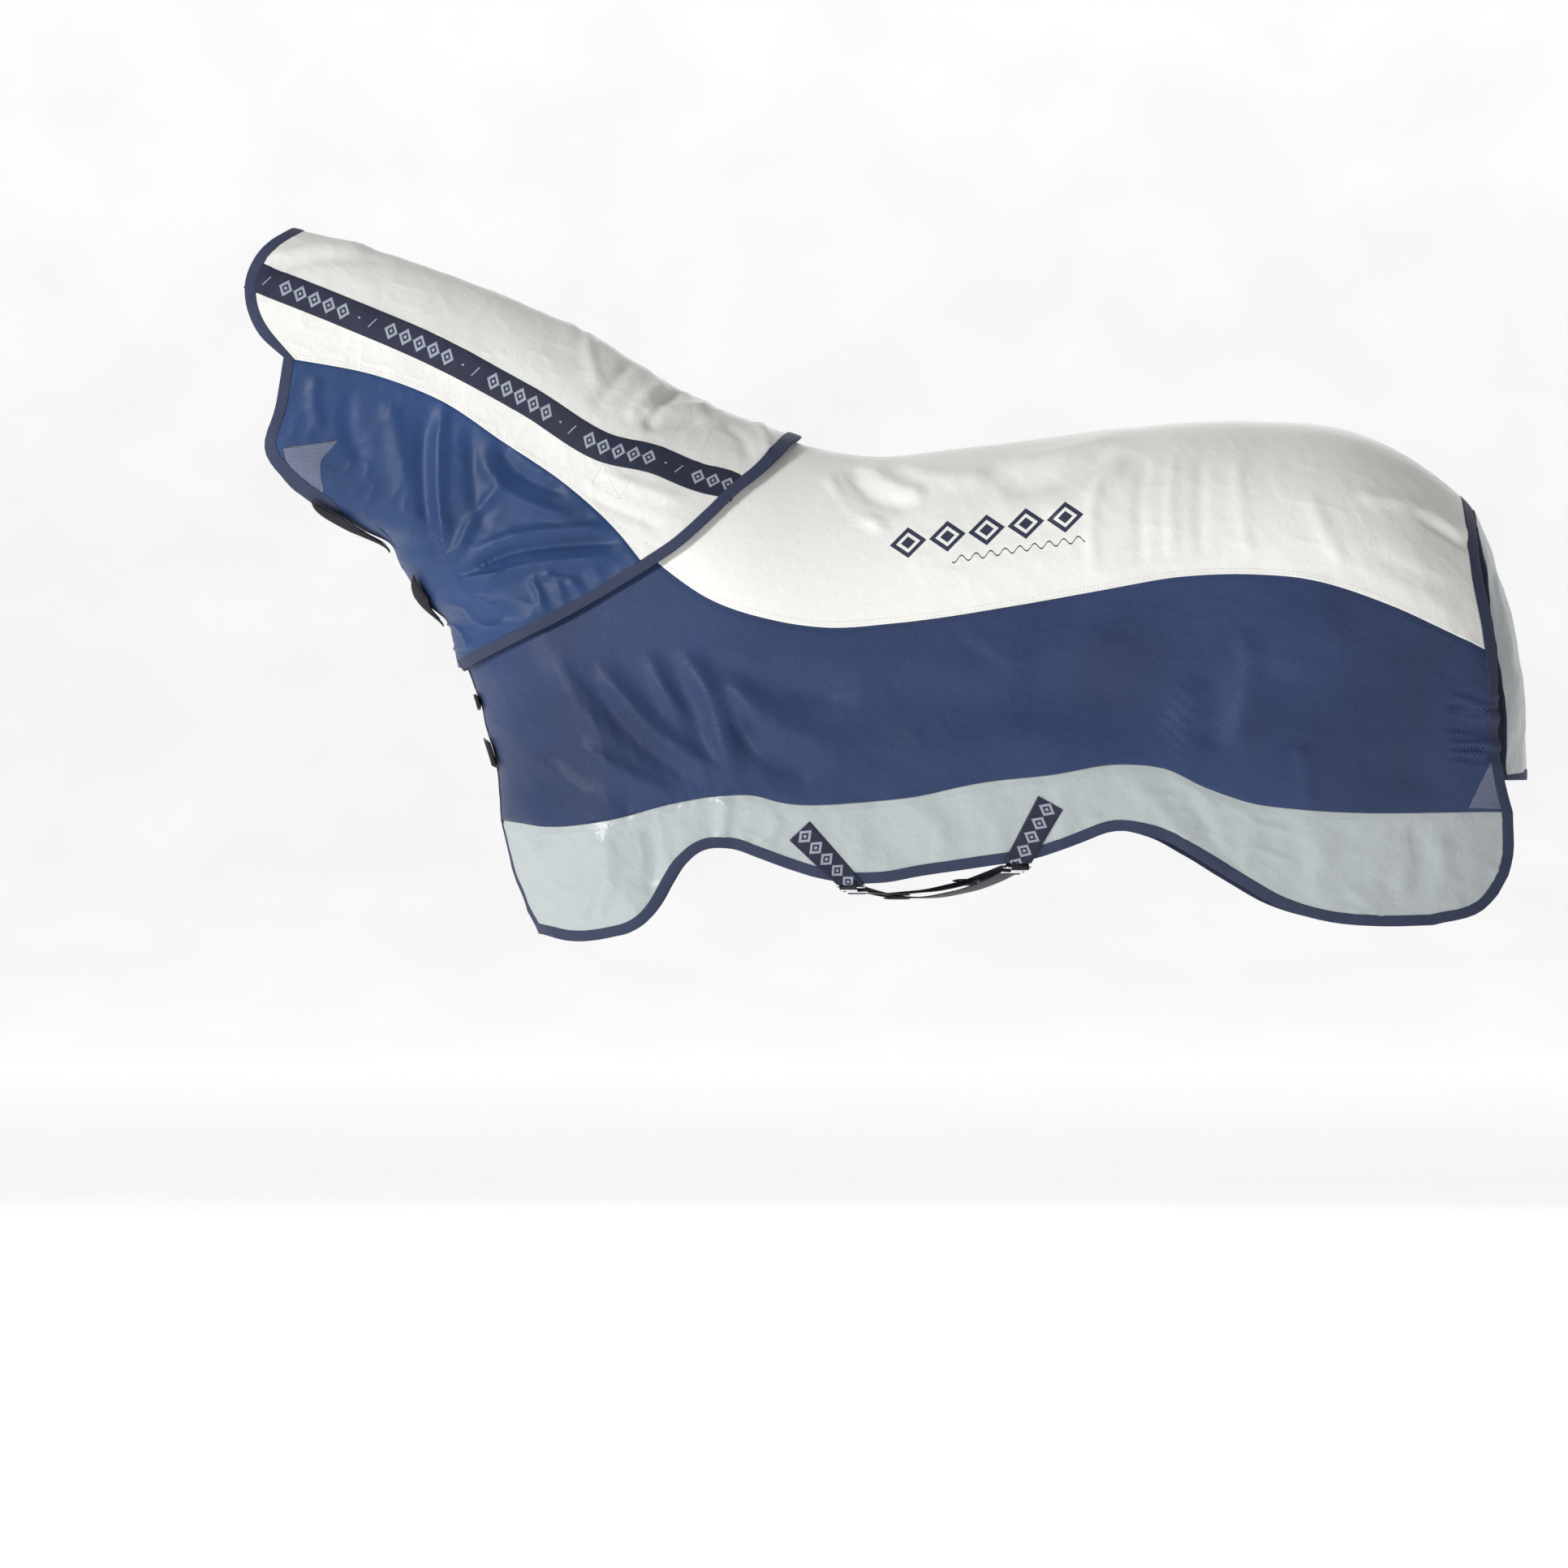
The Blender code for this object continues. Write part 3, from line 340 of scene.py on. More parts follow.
PRINT_START, PRINT_END = 0.137, 0.487
PRINT_LOW = -0.181  # the middle of the row at its start
PRINT_SLOPE = 0.16
PRINT_HEIGHT = 0.056
PRINT_COUNT = 5
PRINT_FILL = 0.47  # half a lozenge's length, as a share of its step
PRINT_RIM, PRINT_HEART = 0.66, 0.40  # where the outline ends and the heart starts, from 1 at the edge
RULE_START, RULE_DROP = 0.250, 0.044  # the waved line under the row
RULE_PITCH, RULE_WAVE, RULE_HALF_LINE = 0.026, 0.0055, 0.0013


def side_print(look):
    """A rising row of lozenges in outline with a filled heart, and a shorter waved line under it:
    |a| + |b| < 1 is a lozenge."""
    x, _, z = look.place()
    along = (x - PRINT_START) * (PRINT_COUNT / (PRINT_END - PRINT_START))
    above = z - (x - PRINT_START) * PRINT_SLOPE - PRINT_LOW
    ring = abs(along.part() - 0.5) / PRINT_FILL + abs(above) / (PRINT_HEIGHT / 2)
    lozenge = (ring < 1.0) * (1 - (ring < PRINT_RIM) * (ring > PRINT_HEART)) * (x > PRINT_START)
    waved = above + RULE_DROP - x.wave(RULE_PITCH) * RULE_WAVE
    rule = (abs(waved) < RULE_HALF_LINE) * (x > RULE_START)
    return (lozenge + rule).least(1.0) * (x < PRINT_END)


white_look = proofed_look("white_polyester", WHITE, 0.54, 0.95, printed=True)
cover_look = proofed_look("white_polyester_cover", shaded(WHITE, 0.86), 0.52, 1.0)
silver_look = proofed_look("silver_taffeta", SILVER, 0.33, 1.3)
print("proofed cloths:", white_look.name, cover_look.name, silver_look.name)


# %% Knitted mesh: the sides, the neck and the vents
NAVY = (0.026, 0.052, 0.148)
NECK_BLUE = (0.016, 0.052, 0.165)
VENT_GREY = (0.205, 0.235, 0.36)
MESH_PITCH, NECK_PITCH = 0.0052, 0.0046
KNIT_BUMP = 0.0009


def knit_look(name, colour, roughness, open_share, pitch=MESH_PITCH, turn=0.0):
    """Round holes on a square grid with one more in the middle of each square, darker than the yarn:
    painted shade seen through the openings.
    """
    look = Look(name, Sheen_Weight=0.05, Sheen_Roughness=0.4, Specular_IOR_Level=0.40)
    u, v = look.cloth()
    drift = look.noise(38, 2) * 0.9
    a = (u * math.cos(turn) + v * math.sin(turn)) / pitch + drift
    b = (v * math.cos(turn) - u * math.sin(turn)) / pitch - drift * 0.7

    def off_centre(shift):
        p, q = (a + shift).part() - 0.5, (b + shift).part() - 0.5
        return p * p + q * q

    hole = 1 - off_centre(0.0).least(off_centre(0.5)).fade(open_share * 0.4, open_share)
    clouds = look.noise(3.5, 3)
    yarn = look.mix(clouds.fade(0.3, 0.7), shaded(colour, 0.80), shaded(colour, 1.18))
    # Painted shade: the holes take a dark navy for the shade seen through the open knit.
    look.feed("Base Color", look.mix(hole * 0.85, yarn, shaded(colour, 0.34)))
    look.feed("Roughness", hole * 0.3 + roughness)
    look.bump(1 - hole + look.noise(30, 3) * 0.9, KNIT_BUMP)
    return look.material


side_look = knit_look("navy_knit", NAVY, 0.50, 0.075)
neck_look = knit_look("blue_knit", NECK_BLUE, 0.47, 0.055, pitch=NECK_PITCH)
vent_look = knit_look("grey_open_knit", VENT_GREY, 0.6, 0.12, turn=0.6)
print("knits:", side_look.name, neck_look.name, vent_look.name)


# %% Narrow goods: edge binding, woven tape, webbing, hook-and-loop and elastic
BINDING_BLUE = (0.0330, 0.0420, 0.0840)
TAPE_NIGHT = (0.0170, 0.0205, 0.0430)
WEBBING_BLACK = (0.0150, 0.0170, 0.0270)
MOTIF_GREY = (0.36, 0.39, 0.47)


def ribbed_look(name, colour, pitch, roughness, depth=0.0004, twill=0.0):
    """Ribs across a tape, worked out from the length along it, with a little fluff over them."""
    look = Look(name, Sheen_Weight=0.03, Sheen_Roughness=0.5, Specular_IOR_Level=0.25)
    u, v = look.cloth()
    ribs = (u + abs(v) * twill).wave(pitch) * 0.5 + 0.5
    fluff = look.noise(900, 2)
    tone = ribs * 0.45 + fluff * 0.4 + look.noise(14, 2) * 0.3
    look.feed("Base Color", look.mix(tone.fade(0.2, 0.9), shaded(colour, 0.72), shaded(colour, 1.28)))
    look.feed("Roughness", fluff * 0.2 + (roughness - 0.1))
    look.bump(ribs + fluff * 0.6, depth)
    return look.material


binding_look = ribbed_look("ribbed_binding", BINDING_BLUE, 0.0024, 0.66)
webbing_look = ribbed_look("black_webbing", WEBBING_BLACK, 0.0030, 0.58, 0.0006, twill=1.0)
elastic_look = ribbed_look("navy_elastic", NAVY, 0.0050, 0.62, 0.0010)
fleece_look = ribbed_look("hook_and_loop", shaded(WEBBING_BLACK, 0.8), 0.0016, 0.9, 0.0009)
# The inner face of the skirt and the tail flap is a dark navy: painted shade for the inside of the cloth.
painted_inner_shade_look = ribbed_look("painted_inner_shade", shaded(BINDING_BLUE, 0.55), 0.0012, 0.7, 0.0001)

MOTIF_REPEAT = 0.207
MOTIF_LENGTH = 0.140
MOTIF_HALF_HEIGHT = 0.0165
MOTIF_COUNT = 5
DOT_PLACE, TICK_PLACE = 0.158, 0.184  # from the start of the repeat
TICK_SLANT = 0.45


def motif_look(name, shift):
    """Woven tape: five lozenges in outline, a dot and a slanting tick in each repeat along the tape."""
    look = Look(name, Sheen_Weight=0.03, Sheen_Roughness=0.5, Specular_IOR_Level=0.25)
    u, v = look.cloth()
    along = ((u + shift) / MOTIF_REPEAT).part() * MOTIF_REPEAT
    five = along * (MOTIF_COUNT / MOTIF_LENGTH)
    ring = abs(five.part() - 0.5) * 2.15 + abs(v) / MOTIF_HALF_HEIGHT
    lozenge = ((ring < 1.0) * (ring > 0.56) + (ring < 0.26)) * (along < MOTIF_LENGTH)
    dot = (abs(along - DOT_PLACE) < 0.0022) * (abs(v) < 0.0016)
    tick = (abs(along - TICK_PLACE - v * TICK_SLANT) < 0.0011) * (abs(v) < 0.010)
    threads = u.wave(0.0011) * 0.5 + v.wave(0.0009) * 0.5
    worn = look.noise(700, 2).fade(0.30, 0.62)
    ground = look.mix(threads * 0.3 + 0.5, shaded(TAPE_NIGHT, 0.8), shaded(TAPE_NIGHT, 1.25))
    mark = (lozenge + dot + tick).least(1.0) * (worn * 0.45 + 0.55)
    look.feed("Base Color", look.mix(mark, ground, MOTIF_GREY))
    look.feed("Roughness", mark * 0.1 + 0.52)
    look.bump(threads * 0.3 + mark, 0.0003)
    return look.material


TAPE_SHIFT = 0.150  # the tape is cut this far into its repeat
tape_look = motif_look("woven_tape", TAPE_SHIFT)
tab_look = motif_look("woven_tab", 0.0)
print("narrow goods:", binding_look.name, tape_look.name, webbing_look.name, fleece_look.name)


# %% Metal, nylon, thread and the set
def plain_look(name, colour, roughness, depth, scale=240, **constants):
    """A hard finish: a colour with a slow change, fine unevenness, and wear that shows in the gloss."""
    look = Look(name, **constants)
    wear = look.noise(scale * 0.25, 3)
    look.feed("Base Color", look.mix(wear.fade(0.3, 0.7), shaded(colour, 0.90), colour))
    look.feed("Roughness", wear * roughness + roughness * 0.5)
    look.bump(look.noise(scale, 2), depth)
    return look.material


steel_look = plain_look("plated_steel", (0.74, 0.74, 0.76), 0.24, 0.00008, Metallic=1.0)
nylon_look = plain_look("black_nylon", (0.020, 0.021, 0.026), 0.42, 0.0002, 900, Coat_Weight=0.1)
pale_thread_look = plain_look("pale_thread", (0.62, 0.65, 0.66), 0.6, 0.0002, 1200)
dark_thread_look = plain_look("dark_thread", (0.020, 0.025, 0.050), 0.6, 0.0002, 1200)
white_thread_look = plain_look("white_thread", (0.66, 0.655, 0.64), 0.6, 0.0002, 1200)
set_look = plain_look("pale_set", (0.90, 0.90, 0.90), 0.9, 0.0001, 8, Emission_Strength=0.56,
                      Emission_Color=(1.0, 1.0, 1.0))
sweep.data.materials.append(set_look)
print("hard finishes:", steel_look.name, nylon_look.name)


# %% [markdown]
# ## The horse's shape
# All the cloth lies on one surface. In side view each point has an x and a z, and the surface gives its
# distance out from the middle: a girth that grows towards the barrel, times a rounding under the topline,
# times a rounding at the chest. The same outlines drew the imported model, so the two agree.

# %% Curves through points
def smooth(at, knots, values):
    """Cubic through (knot, value) pairs, with the slope of their neighbours at each knot."""
    knots, values = np.asarray(knots, float), np.asarray(values, float)
    at = np.clip(at, knots[0], knots[-1])
    slope = np.gradient(values, knots)
    i = np.clip(np.searchsorted(knots, at) - 1, 0, len(knots) - 2)
    step = knots[i + 1] - knots[i]
    t = (at - knots[i]) / step
    start = (2 * t**3 - 3 * t**2 + 1) * values[i] + (t**3 - 2 * t**2 + t) * step * slope[i]
    end = (3 * t**2 - 2 * t**3) * values[i + 1] + (t**3 - t**2) * step * slope[i + 1]
    return start + end


def spread(points, knots, wanted):
    """A row of points read again at other values of its parameter, by the same cubic."""
    return np.stack([smooth(wanted, knots, points[:, k]) for k in range(points.shape[1])], axis=1)


def path(points, fractions):
    """Points at these fractions of the length of a smooth curve through the given ones."""
    points = np.asarray(points, float)
    chords = np.linalg.norm(np.diff(points, axis=0), axis=1)
    knots = np.concatenate([[0], np.cumsum(chords)])
    curve = spread(points, knots, np.linspace(0, knots[-1], 400))
    steps = np.linalg.norm(np.diff(curve, axis=0), axis=1)
    length = np.concatenate([[0], np.cumsum(steps)])
    at = np.asarray(fractions) * length[-1]
    return np.stack([np.interp(at, length, curve[:, k]) for k in range(points.shape[1])], axis=1)


# %% Outlines in side view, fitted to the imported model
binding_low, binding_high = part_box("left_edge_binding")
poll_low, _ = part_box("neck_front_binding")
TO_TAIL = binding_high.x / 1.2559
TO_POLL = poll_low.x / -1.0199
DOWN = binding_low.z / -0.8893
HALF_WIDTH = 0.31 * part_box("left_side_mesh")[0].y / -0.3156


def sized(points):
    """Fits drawn (x, z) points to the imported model."""
    points = np.asarray(points, float)
    x, z = points[..., 0], points[..., 1]
    return np.stack([x * np.where(x > 0, TO_TAIL, TO_POLL), z * DOWN], axis=-1)


TOPLINE = sized([
    (-1.02, 0.405), (-0.942, 0.383), (-0.803, 0.347), (-0.642, 0.292), (-0.511, 0.241),
    (-0.387, 0.183), (-0.234, 0.088), (-0.12, 0.040), (0, 0), (0.10, -0.016), (0.292, 0.0),
    (0.584, 0.036), (0.80, 0.047), (0.993, 0.022), (1.095, -0.029), (1.19, -0.11), (1.26, -0.21),
])
CHEST_LINE = sized([
    (-0.499, -0.876), (-0.5256, -0.803), (-0.552, -0.708), (-0.559, -0.672), (-0.5665, -0.569),
    (-0.584, -0.511), (-0.5957, -0.4526), (-0.6205, -0.397), (-0.634, -0.35), (-0.650, -0.302),
    (-0.686, -0.270), (-0.730, -0.204), (-0.7665, -0.153), (-0.835, -0.125), (-0.945, -0.08),
    (-1.03, -0.02), (-1.10, 0.06), (-1.25, 0.45),
])
HEM = sized([
    (-0.438, -0.888), (-0.365, -0.883), (-0.307, -0.864), (-0.27, -0.822), (-0.238, -0.765),
    (-0.204, -0.73), (-0.168, -0.72), (-0.102, -0.737), (0, -0.772), (0.0876, -0.785),
    (0.219, -0.767), (0.35, -0.7475), (0.438, -0.73), (0.504, -0.70), (0.569, -0.689),
    (0.642, -0.715), (0.73, -0.7665), (0.847, -0.832), (0.949, -0.8575), (1.051, -0.861),
    (1.11, -0.8595),
])
REAR_CORNER = sized([
    (1.11, -0.8595), (1.160, -0.851), (1.2045, -0.830), (1.240, -0.785), (1.257, -0.73),
    (1.254, -0.657),
])
REAR_EDGE = sized([
    (1.254, -0.657), (1.238, -0.599), (1.229, -0.511), (1.2235, -0.365), (1.197, -0.219),
    (1.190, -0.11),
])
UPPER_SEAM = sized([
    (-0.36, -0.130), (-0.248, -0.2336), (-0.19, -0.273), (-0.073, -0.314), (0.029, -0.3285),
    (0.146, -0.321), (0.365, -0.289), (0.511, -0.263), (0.657, -0.238), (0.788, -0.2336),
    (0.876, -0.241), (1.022, -0.2847), (1.153, -0.343), (1.2235, -0.3767),
])
LOWER_SEAM = sized([
    (-0.559, -0.672), (-0.467, -0.683), (-0.365, -0.672), (-0.248, -0.642), (-0.161, -0.628),
    (-0.102, -0.628), (-0.0584, -0.6395), (0.0876, -0.6395), (0.19, -0.628), (0.292, -0.606),
    (0.423, -0.591), (0.555, -0.572), (0.628, -0.580), (0.70, -0.613), (0.788, -0.642),
    (0.876, -0.6526), (1.254, -0.657),
])
NECKLINE_UPPER = sized([(-0.13, 0.0435), (-0.24, -0.02), (-0.31, -0.082), (-0.36, -0.130)])
NECKLINE_LOWER = sized([(-0.36, -0.130), (-0.45, -0.195), (-0.54, -0.247), (-0.645, -0.305)])
COVER_FRONT_UPPER = sized([
    (-0.942, 0.383), (-0.985, 0.358), (-1.016, 0.314), (-1.019, 0.263), (-0.996, 0.204),
    (-0.950, 0.160),
])
COVER_FRONT_LOWER = sized([
    (-0.950, 0.160), (-0.946, 0.117), (-0.956, 0.088), (-0.978, 0.051), (-0.981, 0.007),
    (-0.960, -0.031), (-0.918, -0.072), (-0.845, -0.118),
])
COVER_SEAM = sized([
    (-0.950, 0.160), (-0.774, 0.124), (-0.664, 0.080), (-0.555, 0.007), (-0.438, -0.073),
    (-0.350, -0.153), (-0.292, -0.226),
])
COVER_REAR_UPPER = sized([
    (-0.022, 0.0095), (-0.073, -0.044), (-0.139, -0.098), (-0.219, -0.175), (-0.292, -0.226),
])
COVER_REAR_LOWER = sized([
    (-0.292, -0.226), (-0.438, -0.312), (-0.5475, -0.365), (-0.6135, -0.397),
])
TAPE_LINE = sized([
    (-0.960, 0.286), (-0.85, 0.243), (-0.67, 0.165), (-0.511, 0.079), (-0.36, -0.012),
    (-0.293, -0.029), (-0.20, -0.067), (-0.150, -0.080),
])
print("fitted by", round(TO_TAIL, 4), round(TO_POLL, 4), round(DOWN, 4))

# %% The surface under the cloth
GIRTH_STATION = np.array([-1.05, -0.93, -0.70, -0.50, -0.25, 0.0, 0.20, 0.40, 0.70, 1.6])
GIRTH_SHARE = np.array([0.28, 0.30, 0.34, 0.40, 0.55, 0.75, 0.87, 0.955, 1.0, 1.0])
REAR_STATION = np.array([0.60, 0.80, 0.95, 1.08, 1.19, 1.27])
REAR_SHARE = np.array([1.0, 0.985, 0.955, 0.88, 0.74, 0.60])
SHOULDER_STATION = np.array([-0.95, -0.50, -0.25, 0.0, 0.30, 0.60, 0.90, 1.25])
SHOULDER_DEPTH = np.array([0.15, 0.17, 0.27, 0.38, 0.31, 0.27, 0.25, 0.30])
CHEST_ROUND_STATION = np.array([-0.90, -0.60, -0.40, -0.13, 0.1])
CHEST_ROUND = np.array([0.22, 0.22, 0.18, 0.12, 0.12])
TUCK_SHARE, TUCK_START, TUCK_DEPTH = 0.10, 0.52, 0.36
SLOPE_STEP = 0.002  # over this the surface's slope is measured


def topline(x):
    """The height of the back and the crest at x."""
    return smooth(x, TOPLINE[:, 0], TOPLINE[:, 1])


def chest_line(z):
    """How far forward the chest comes at height z, in the middle."""
    return smooth(z, CHEST_LINE[:, 1], CHEST_LINE[:, 0])


def chest_round(z):
    """How far behind the chest line the rounding ends."""
    return smooth(z, CHEST_ROUND_STATION, CHEST_ROUND) * TO_POLL


def side_width(x, z):
    """Half-width before the chest rounds it off: girth x rear taper x topline round x tuck."""
    along = x / np.where(x > 0, TO_TAIL, TO_POLL)
    down = z / DOWN
    girth = smooth((along - down) / math.sqrt(2), GIRTH_STATION, GIRTH_SHARE)
    rear = smooth(along, REAR_STATION, REAR_SHARE)
    round_depth = smooth(along, SHOULDER_STATION, SHOULDER_DEPTH) * DOWN
    over = 1 - np.clip((topline(x) - z) / round_depth, 0, 1)
    low = np.clip((-down - TUCK_START) / TUCK_DEPTH, 0, 1)
    tuck = 1 - TUCK_SHARE * low**2 * (3 - 2 * low)
    return HALF_WIDTH * girth * rear * np.sqrt(1 - over**2) * tuck


def half_width(x, z):
    """The side's half-width, rounded off as a quarter ellipse behind the chest line."""
    over = 1 - np.clip((x - chest_line(z)) / chest_round(z), 0, 1)
    return side_width(x, z) * np.sqrt(1 - over**2)


def front_x(z, y):
    """Where the chest has this half-width at height z, found by stepping in from the chest line."""
    x = chest_line(z)
    for _ in range(12):
        share = np.clip(y / np.maximum(side_width(x + 0.01, z), 1e-4), 0, 0.99)
        x = chest_line(z) + chest_round(z) * (1 - np.sqrt(1 - share**2))
    return x


def on_body(xz, side):
    """Side-view points put on the surface, on the left for side -1 and on the right for +1."""
    x, z = xz[..., 0], xz[..., 1]
    return np.stack([x, side * half_width(x, z), z], axis=-1)


def normals(grid):
    """Unit normals of y^2 = half_width(x, z)^2, pointing away from the horse."""
    x, y, z = grid[..., 0], grid[..., 1], grid[..., 2]
    step = SLOPE_STEP
    slope_x = (half_width(x + step, z) ** 2 - half_width(x - step, z) ** 2) / (2 * step)
    slope_z = (half_width(x, z + step) ** 2 - half_width(x, z - step) ** 2) / (2 * step)
    outward = np.stack([-slope_x, 2 * y, -slope_z], axis=-1)
    return outward / np.linalg.norm(outward, axis=-1, keepdims=True)


def patch(top, bottom, left, right, across, down):
    """Fills four boundary curves by adding the two ruled surfaces and taking off the bilinear one."""
    u, w = across[:, None, None], down[None, :, None]
    ruled = (1 - w) * top[:, None] + w * bottom[:, None]
    sides = (1 - u) * left[None] + u * right[None]
    corners = (1 - u) * ((1 - w) * top[0] + w * bottom[0]) + u * ((1 - w) * top[-1] + w * bottom[-1])
    return ruled + sides - corners


# %% [markdown]
# ## Folds
# Cloth that is cut flat and laid on a round horse keeps long soft folds where it is pulled: from under the
# neck cover down over the shoulder, round the withers, and at the dart on the rump. A fold here is a route
# in side view, a half-width and a height. Its height falls off as a bell curve on each side of the route
# and fades at both ends, and it moves the cloth along the surface's normals. Simulated cloth would need
# the horse and its pull at every strap, and routes put each fold where it belongs in one step.

# %% How high a fold stands at each point
FOLD_STEPS = 28  # points along a route
FOLD_FADE = 0.22  # the share of a route over which each end fades


def fold_height(x, z, route, width, height):
    """height x bell curve of the distance to the route x a fade to nothing at both of its ends."""
    line = path(route, np.linspace(0, 1, FOLD_STEPS))
    away = np.full(x.shape, 1e9)
    share = np.zeros(x.shape)
    for k, (px, pz) in enumerate(line):
        distance = (x - px) ** 2 + (z - pz) ** 2
        nearer = distance < away
        away[nearer], share[nearer] = distance[nearer], k / (len(line) - 1)
    ends = np.clip(np.minimum(share, 1 - share) / FOLD_FADE, 0, 1)
    return height * np.exp(-away / width**2) * ends * ends * (3 - 2 * ends)


def ripple(a, b, pitch, seed):
    """Smooth noise from -1 to 1: random heights on a lattice this far apart, joined by soft steps."""
    table = np.random.default_rng(seed).uniform(-1, 1, (256, 256))
    i, j = np.floor(a / pitch).astype(int), np.floor(b / pitch).astype(int)
    u, v = a / pitch - i, b / pitch - j
    u, v = u * u * (3 - 2 * u), v * v * (3 - 2 * v)
    near = table[i % 256, j % 256] * (1 - u) + table[(i + 1) % 256, j % 256] * u
    far = table[i % 256, (j + 1) % 256] * (1 - u) + table[(i + 1) % 256, (j + 1) % 256] * u
    return near * (1 - v) + far * v


def creases(a, b, pitch, seed):
    """Thin sharp ridges from 0 to 1 where the noise crosses zero, as in crumpled cloth."""
    return (1 - np.abs(ripple(a, b, pitch, seed))) ** 5


# %% Where the folds of the body rug run: (route, half-width, height)
SHOULDER_FOLDS = [
    ([(-0.270, -0.232), (-0.243, -0.335), (-0.192, -0.430), (-0.130, -0.617)], 0.017, 0.0085),
    ([(-0.240, -0.240), (-0.212, -0.335), (-0.158, -0.430), (-0.095, -0.600)], 0.018, -0.0060),
    ([(-0.300, -0.240), (-0.282, -0.335), (-0.235, -0.430), (-0.175, -0.600)], 0.018, -0.0050),
    ([(-0.350, -0.250), (-0.305, -0.345), (-0.258, -0.446), (-0.205, -0.520)], 0.014, 0.0065),
    ([(-0.393, -0.370), (-0.330, -0.460), (-0.279, -0.514), (-0.154, -0.594)], 0.017, 0.0075),
    ([(-0.400, -0.425), (-0.345, -0.495), (-0.280, -0.555), (-0.190, -0.605)], 0.016, -0.0055),
    ([(-0.233, -0.262), (-0.200, -0.310), (-0.154, -0.356), (-0.074, -0.401)], 0.014, 0.0070),
    ([(-0.225, -0.290), (-0.165, -0.380), (-0.060, -0.430), (0.096, -0.450)], 0.026, -0.0075),
    ([(-0.190, -0.380), (-0.130, -0.455), (-0.020, -0.520), (0.075, -0.552)], 0.030, 0.0085),
    ([(-0.150, -0.480), (-0.080, -0.560), (0.020, -0.600)], 0.020, -0.0055),
    ([(-0.500, -0.549), (-0.420, -0.605), (-0.324, -0.657)], 0.015, 0.0050),
    ([(-0.432, -0.525), (-0.340, -0.585), (-0.235, -0.632)], 0.015, 0.0065),
    ([(-0.450, -0.570), (-0.380, -0.625), (-0.300, -0.660)], 0.012, -0.0035),
    ([(-0.200, -0.290), (-0.020, -0.375), (0.180, -0.380), (0.330, -0.350)], 0.032, 0.0055),
    ([(-0.460, -0.360), (-0.420, -0.460), (-0.340, -0.550)], 0.022, 0.0045),
]
WITHER_FOLDS = [
    ([(-0.076, -0.110), (-0.057, -0.190), (-0.040, -0.270)], 0.011, 0.0065),
    ([(-0.050, -0.100), (-0.032, -0.180), (-0.015, -0.260)], 0.010, -0.0045),
    ([(0.020, -0.045), (0.055, -0.120), (0.145, -0.155)], 0.014, 0.0085),
    ([(0.000, -0.075), (0.038, -0.150), (0.120, -0.190)], 0.013, -0.0065),
    ([(0.060, -0.030), (0.100, -0.085), (0.190, -0.120)], 0.013, -0.0055),
    ([(0.090, -0.025), (0.135, -0.068), (0.215, -0.095)], 0.014, 0.0070),
    ([(-0.020, -0.100), (0.005, -0.170), (0.060, -0.240)], 0.013, 0.0050),
    ([(-0.110, -0.130), (-0.118, -0.190), (-0.100, -0.265)], 0.011, 0.0050),
    ([(0.150, -0.030), (0.230, -0.060), (0.330, -0.060)], 0.017, 0.0060),
    ([(0.100, -0.190), (0.090, -0.240), (0.105, -0.300)], 0.012, 0.0035),
    ([(0.010, -0.220), (0.025, -0.270), (0.060, -0.310)], 0.010, -0.0030),
]
BACK_FOLDS = [
    ([(0.330, -0.085), (0.450, -0.060), (0.555, 0.000)], 0.020, -0.0070),
    ([(0.330, -0.040), (0.450, -0.022), (0.560, 0.020)], 0.020, 0.0065),
    ([(0.410, -0.140), (0.490, -0.095), (0.570, -0.020)], 0.017, 0.0060),
    ([(0.525, -0.030), (0.500, -0.130), (0.505, -0.250)], 0.010, 0.0030),
    ([(0.600, -0.010), (0.585, -0.120), (0.590, -0.230)], 0.010, -0.0032),
    ([(0.650, 0.000), (0.640, -0.110), (0.645, -0.220)], 0.009, 0.0030),
    ([(0.700, 0.000), (0.692, -0.110), (0.695, -0.220)], 0.009, -0.0028),
    ([(0.760, 0.000), (0.765, -0.110), (0.780, -0.220)], 0.011, 0.0028),
    ([(1.080, -0.112), (1.130, -0.140), (1.182, -0.172)], 0.013, 0.0060),
    ([(1.085, -0.131), (1.133, -0.158), (1.180, -0.190)], 0.008, -0.0050),
    ([(0.965, -0.092), (1.030, -0.102), (1.100, -0.112)], 0.013, 0.0050),
    ([(0.885, -0.080), (0.910, -0.150), (0.950, -0.220)], 0.014, 0.0035),
    ([(0.980, -0.180), (1.060, -0.230), (1.150, -0.270)], 0.018, -0.0030),
]
FLANK_FOLDS = [
    ([(0.760, -0.320), (0.782, -0.407), (0.770, -0.480), (0.760, -0.570)], 0.020, 0.0065),
    ([(0.340, -0.430), (0.520, -0.470), (0.690, -0.500)], 0.070, -0.0120),
    ([(0.700, -0.380), (0.712, -0.460), (0.700, -0.560)], 0.030, -0.0060),
    ([(0.820, -0.420), (0.860, -0.350), (0.960, -0.310)], 0.060, 0.0070),
    ([(0.870, -0.530), (0.880, -0.590), (0.884, -0.660)], 0.014, 0.0050),
    ([(0.960, -0.570), (1.050, -0.590), (1.120, -0.585)], 0.030, -0.0050),
    ([(0.150, -0.400), (0.350, -0.385), (0.600, -0.350)], 0.045, 0.0060),
    ([(0.120, -0.560), (0.300, -0.530), (0.480, -0.520)], 0.040, 0.0045),
]
